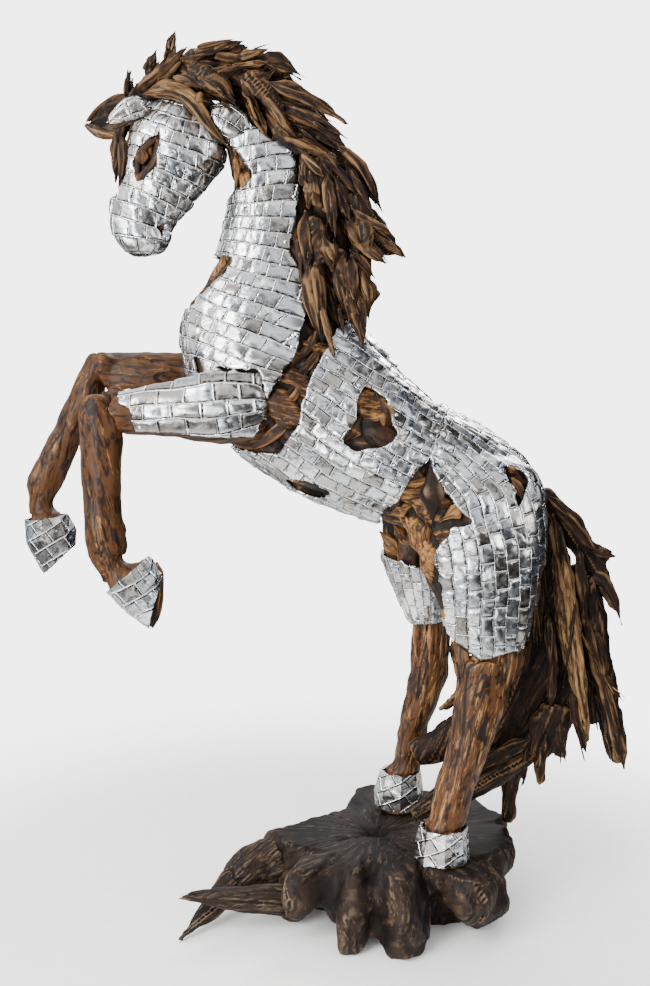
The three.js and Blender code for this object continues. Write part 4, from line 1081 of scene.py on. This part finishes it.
SIDE_STICKS = [
    ([(312, 175), (312, 190), (308, 208)], (15, 20, 17), 0.75),
    ([(327, 174), (330, 200), (332, 231)], (11, 13, 11), 0.65),
    ([(335, 176), (343, 198), (350, 222)], (12, 15, 9), 0.5),
    ([(352, 208), (372, 222), (393, 237)], (12, 10, 6), 0.6),
    ([(352, 228), (369, 250), (386, 263)], (12, 13, 9), 0.6),
    ([(372, 228), (387, 243), (403, 258)], (10, 11, 5), 0.8),
    ([(342, 212), (355, 232), (364, 254)], (14, 17, 10), 0.5),
    ([(306, 212), (305, 238), (308, 268)], (14, 18, 14), 0.45),
    ([(323, 230), (326, 248), (332, 270)], (14, 24, 12), 0.55),
    ([(350, 250), (362, 262), (375, 278)], (12, 15, 10), 0.45),
    ([(335, 268), (341, 292), (348, 321)], (16, 15, 4), 0.7),
    ([(362, 270), (368, 292), (368, 317)], (16, 22, 15), 0.55),
    ([(347, 285), (356, 318), (365, 352)], (14, 14, 3), 0.5),
    ([(309, 262), (316, 300), (322, 346)], (20, 24, 9), 0.2),
    ([(326, 280), (333, 305), (340, 330)], (16, 15, 8), 0.25),
    ([(352, 256), (350, 275), (356, 300)], (13, 15, 10), 0.35),
    ([(297, 234), (298, 252), (302, 272)], (7, 9, 6), 0.35),
    ([(302, 150), (306, 166), (305, 182)], (9, 11, 7), 0.25),
]
FORELOCK = [
    ([(141, 96), (166, 86), (190, 97), (209, 127), (229, 148)], (8, 20, 18, 12, 3), 0.85),
    ([(160, 86), (180, 86), (198, 100), (212, 122)], (6, 10, 10, 4), 1.0),
    ([(121, 134), (124, 158), (119, 184)], (8, 11, 5), 0.35),
]
neck_ground = ground_of(["carcass", "head"] + [name for name in MANE if "far" not in name])
near_sticks = traced(CROWN_STICKS + CREST_STICKS, neck_ground, 4, -0.035)
near_sticks += traced(SIDE_STICKS, neck_ground, 4, -0.03)
bundle("mane_sticks", near_sticks, mane_wood, "mane_wood", 501)
bundle("mane_slivers", slivers(near_sticks, 521), mane_wood, "mane_wood", 531, sides=10)
bundle("forelock_wood", traced(FORELOCK, neck_ground, 14, -0.08), mane_wood, "mane_wood", 551, ["forelock"])


def mirrored(sticks, ground, lift, wider=1.25):
    """The same sticks laid on the far side, where a line across the horse meets it."""
    made = []
    for i, (line, widths, shade) in enumerate(sticks):
        sway = 9 * MM * math.sin(i * 2.4)
        hits = [ground.ray_cast((p[0] + sway, 1, p[2] + 0.6 * sway), (0, -1, 0))[0] for p in line]
        hits = np.array([hit for hit in hits if hit is not None])
        if len(hits) > 1:
            hits[:, 1] = 0.5 * hits[:, 1] + 0.5 * hits[:, 1].mean() + lift * MM
            made.append((hits, [w * wider for w in widths], 0.9 * shade))
    return made


far_ground = ground_of(["carcass", "head"] + [name for name in MANE if "face" not in name])
bundle("far_mane_sticks", mirrored(near_sticks, far_ground, 4), mane_wood, "mane_wood", 601)

# Five rows of sticks on the crest, each drawn back by its own length, close the mane from above
crest_sticks = []
for i, (line, widths, shade) in enumerate(near_sticks[: len(CROWN_STICKS + CREST_STICKS)]):
    for row in range(-2 + i % 2, 3, 2):
        aside = (26 * row + 6 * math.sin(i * 1.7)) * MM
        back = (line[-1] - line[0]) * 0.25 * scramble(np.array([[i, row, 7]]), 5)[0]
        crest_line = [(p - back) * [1, 0, 1] + [0, aside, -0.003] for p in line]
        crest_sticks.append((crest_line, widths, 0.8 * shade))
bundle("crest_sticks", crest_sticks, mane_wood, "mane_wood", 641, flat=1.3, sides=14)

# %% [markdown]
# ## Ears and eyes
# The near ear is a leaf of metal over a wooden rim, and the far ear is a cupped piece of wood. The eye is
# carved: a ball between two lids, set in the almond that the sheet leaves open.

# %% Ears and eyes
CUP_LINE = seen_at([(150, 104), (128, 112), (108, 119), (90, 123)], 0.055)
FAR_EAR_CUP = [(CUP_LINE, pixel_widths(20, 34, 34, 12), 0.0)]
bundle("far_ear_cup", FAR_EAR_CUP, root_wood, "horse_wood", 801, groove=1.0, split=0.0)
RIM_LINE = seen_at([(146, 96), (127, 96), (112, 98), (98, 107), (86, 122)], 0.044)
FAR_EAR_RIM = [
    (RIM_LINE, pixel_widths(5, 6, 5, 4, 3), 0.6),
    (seen_at([(85, 124), (96, 132), (110, 135), (128, 130)], 0.046), pixel_widths(6, 12, 12, 8), 0.8),
]
bundle("far_ear_rim", FAR_EAR_RIM, leg_wood, "horse_wood", 806, ["far_ear"], groove=1.0, split=0.0)
NEAR_EAR_RIM = [(seen_at([(144, 116), (130, 122), (113, 129)], -0.058), pixel_widths(5, 7, 4), 0.6)]
bundle("near_ear_rim", NEAR_EAR_RIM, leg_wood, "horse_wood", 811, ["near_ear"], groove=1.0, split=0.0)


def metal_leaf(name, line, widths, seed, flat):
    """A small hammered sheet shaped like a leaf, with tiles along it."""
    points, quads, place = stick(line, pixel_widths(*widths), seed, flat, sides=26)
    points = points + normals_of(points, quads) * (tile_relief(place) * 0.6 * MM)[:, None]
    add_piece(name, points, quads, aluminium, "sheet_metal", tile=place * [1, 1, 0])


metal_leaf("near_ear_sheet", seen_at([(146, 105), (130, 108), (110, 121)], -0.062), (20, 23, 12), 821, 0.25)
head_ground = ground_of(["carcass", "head"])
poll = laid_line([(205, 110), (226, 118), (246, 132)], head_ground, 4, -0.05)
metal_leaf("poll_sheet", poll, (14, 33, 28), 831, 0.4)

NEAR_EYE = [
    ([(137, 179), (137, 158), (145, 147), (158, 137)], (4, 6, 6, 4), 0.35),
    ([(158, 138), (157, 156), (150, 170), (137, 180)], (4, 9, 9, 4), 0.7),
    ([(141, 151), (142, 157), (142, 163)], (11, 13, 11), 0.55),
]
near_eye = traced(NEAR_EYE, head_ground, 3, -0.07, 1)
bundle("near_eye_wood", near_eye, core_wood, "horse_wood", 841, ["near_eye"], groove=0.4, split=0.0)
far_eye = mirrored(near_eye, head_ground, 6, 1.0)
bundle("far_eye_wood", far_eye, core_wood, "horse_wood", 851, ["far_eye"], groove=0.4, split=0.0)

# %% [markdown]
# ## Planks in the gaps and at the hind legs
# The gaps between the sheets show planks and chunks that were chosen to fit: long ones behind the shoulder,
# a dark diamond in the flank with honey pieces round it. Short slabs clad the tops of the hind legs.

# %% Planks and slabs
BODY_PLANKS = [
    ([(319, 327), (312, 345), (286, 373), (264, 400)], (8, 11, 12, 8), 0.4),
    ([(320, 350), (300, 378), (280, 402)], (9, 12, 9), 0.15),
    ([(304, 374), (297, 398), (271, 414), (254, 434)], (8, 13, 13, 8), 0.65),
    ([(297, 409), (280, 432), (252, 445), (226, 441)], (10, 15, 14, 8), 0.5),
    ([(376, 394), (387, 415), (383, 440)], (16, 27, 20), 0.4),
    ([(346, 441), (353, 430), (362, 416)], (14, 18, 12), 0.6),
    ([(500, 461), (510, 467), (521, 477)], (10, 13, 9), 0.5),
    ([(512, 478), (519, 488), (524, 501)], (9, 11, 7), 0.6),
    ([(428, 456), (408, 486), (398, 503)], (8, 13, 10), 0.2),
    ([(440, 521), (455, 509), (471, 504)], (13, 20, 14), 0.95),
    ([(428, 520), (425, 536), (423, 552)], (11, 13, 8), 0.65),
    ([(387, 515), (400, 509), (414, 504)], (13, 19, 13), 0.9),
    ([(394, 525), (405, 535), (417, 546)], (13, 17, 12), 0.7),
    ([(379, 530), (391, 545), (406, 560)], (14, 22, 15), 0.95),
    ([(236, 152), (238, 168), (236, 186)], (7, 10, 5), 0.95),
    ([(196, 358), (192, 366), (189, 374)], (8, 10, 7), 0.3),
]
carcass_ground = ground_of(["carcass"])
body_planks = traced(BODY_PLANKS, carcass_ground, -5, 0.0, 1)
bundle("body_planks", body_planks, core_wood, "horse_wood", 861, groove=2.0)
DIAMOND = [([(430, 459), (433, 492), (433, 527)], (10, 36, 8), 0.3)]
bundle("flank_diamond", traced(DIAMOND, carcass_ground, 0, 0.0), root_wood, "horse_wood", 881, groove=0.8)

HIND_SLABS = [
    ([(462, 634), (464, 668), (466, 705)], (14, 16, 10), 0.55),
    ([(479, 638), (481, 672), (482, 706)], (16, 19, 15), 0.75),
    ([(496, 636), (494, 670), (491, 700)], (16, 18, 11), 0.6),
    ([(512, 634), (509, 668), (503, 702)], (16, 18, 9), 0.5),
    ([(523, 644), (519, 662), (512, 690)], (10, 12, 8), 0.35),
    ([(451, 640), (456, 658), (459, 684)], (9, 11, 7), 0.6),
    ([(456, 630), (459, 650), (463, 674)], (12, 14, 9), 0.45),
]
FAR_HIND_SLABS = [
    ([(420, 600), (421, 634), (420, 664)], (15, 17, 9), 0.7),
    ([(434, 602), (433, 638), (430, 672)], (16, 18, 10), 0.5),
    ([(446, 604), (444, 638), (440, 668)], (13, 14, 7), 0.6),
]
near_ground = ground_of(["near_hind_leg"])
far_leg_ground = ground_of(["far_hind_leg"])
slabs = traced(HIND_SLABS, near_ground, -3, -0.1, 2) + traced(FAR_HIND_SLABS, far_leg_ground, -3, 0.1, 2)
bundle("hind_slabs", slabs, leg_wood, "horse_wood", 901, groove=1.6)
HOOF_HEEL = [(seen_at([(157, 564), (157, 594), (152, 627)], -0.115), pixel_widths(9, 15, 11), 0.2)]
bundle("near_hoof_heel", HOOF_HEEL, leg_wood, "horse_wood", 921, split=0.3)

# %% [markdown]
# ## Tail and braces
# The tail is one broad dark plank with bright sticks and splinters along its edge, and it also props the
# horse: its lower end sweeps forward to the base.

# %% Tail and braces
TAIL = sorted(name for name in nodes if name.startswith("tail"))
for seed, name in enumerate(TAIL):
    points, quads, layers = carved(
        name, 0.010, 2, 0.003, 301 + 7 * seed, lump=5, groove=3.4, spacing=17, crack=6, stretch=11
    )
    tone = np.full(len(points), 0.8 if name == "tail_long_stick" else 0.05 + (seed * 0.618) % 0.3)
    add_piece(name + "_wood", points, quads, tail_wood, "tail_wood", [name], tone=tone, **layers)

TAIL_STICKS = [
    ([(545, 495), (572, 519), (596, 552)], (12, 18, 14), 0.5),
    ([(592, 552), (604, 553), (615, 556)], (11, 9, 10), 0.4),
    ([(584, 574), (604, 581), (615, 600), (622, 625)], (14, 14, 9, 3), 0.45),
    ([(563, 556), (571, 610), (580, 680), (588, 742)], (12, 18, 19, 8), 0.9),
    ([(585, 610), (600, 664), (613, 715), (624, 768)], (12, 16, 17, 12), 0.6),
    ([(594, 630), (602, 645), (607, 678)], (8, 10, 6), 0.35),
    ([(604, 672), (613, 687), (622, 700)], (8, 7, 4), 0.4),
    ([(578, 545), (583, 590), (584, 630)], (10, 13, 8), 0.3),
    ([(553, 515), (562, 560), (565, 600)], (12, 16, 10), 0.25),
    ([(536, 540), (541, 590), (538, 650)], (12, 14, 8), 0.15),
    ([(525, 600), (530, 640), (524, 680)], (9, 12, 7), 0.35),
    ([(548, 610), (553, 660), (551, 710)], (14, 16, 9), 0.2),
    ([(571, 690), (578, 722), (586, 752)], (10, 12, 6), 0.3),
    ([(594, 690), (601, 722), (609, 758)], (10, 12, 7), 0.25),
    ([(546, 735), (543, 757), (540, 782)], (14, 12, 5), 0.5),
    ([(560, 720), (561, 742), (565, 760)], (12, 11, 6), 0.4),
    ([(530, 745), (526, 762), (522, 780)], (10, 9, 5), 0.4),
    ([(452, 777), (490, 758), (534, 740)], (12, 22, 16), 0.25),
]
tail_ground = ground_of([name for name in TAIL if "far" not in name])
tail_sticks = traced(TAIL_STICKS, tail_ground, 7, 0.0)
bundle("tail_sticks", tail_sticks, tail_wood, "tail_wood", 701, groove=2.2)
bundle("tail_slivers", slivers(tail_sticks[2:], 721, 1), tail_wood, "tail_wood", 731)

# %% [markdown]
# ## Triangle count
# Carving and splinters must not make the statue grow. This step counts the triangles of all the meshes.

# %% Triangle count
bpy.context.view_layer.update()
total = sum(len(p.vertices) - 2 for o in bpy.data.objects if o.type == "MESH" for p in o.data.polygons)
print("triangles in all:", total)
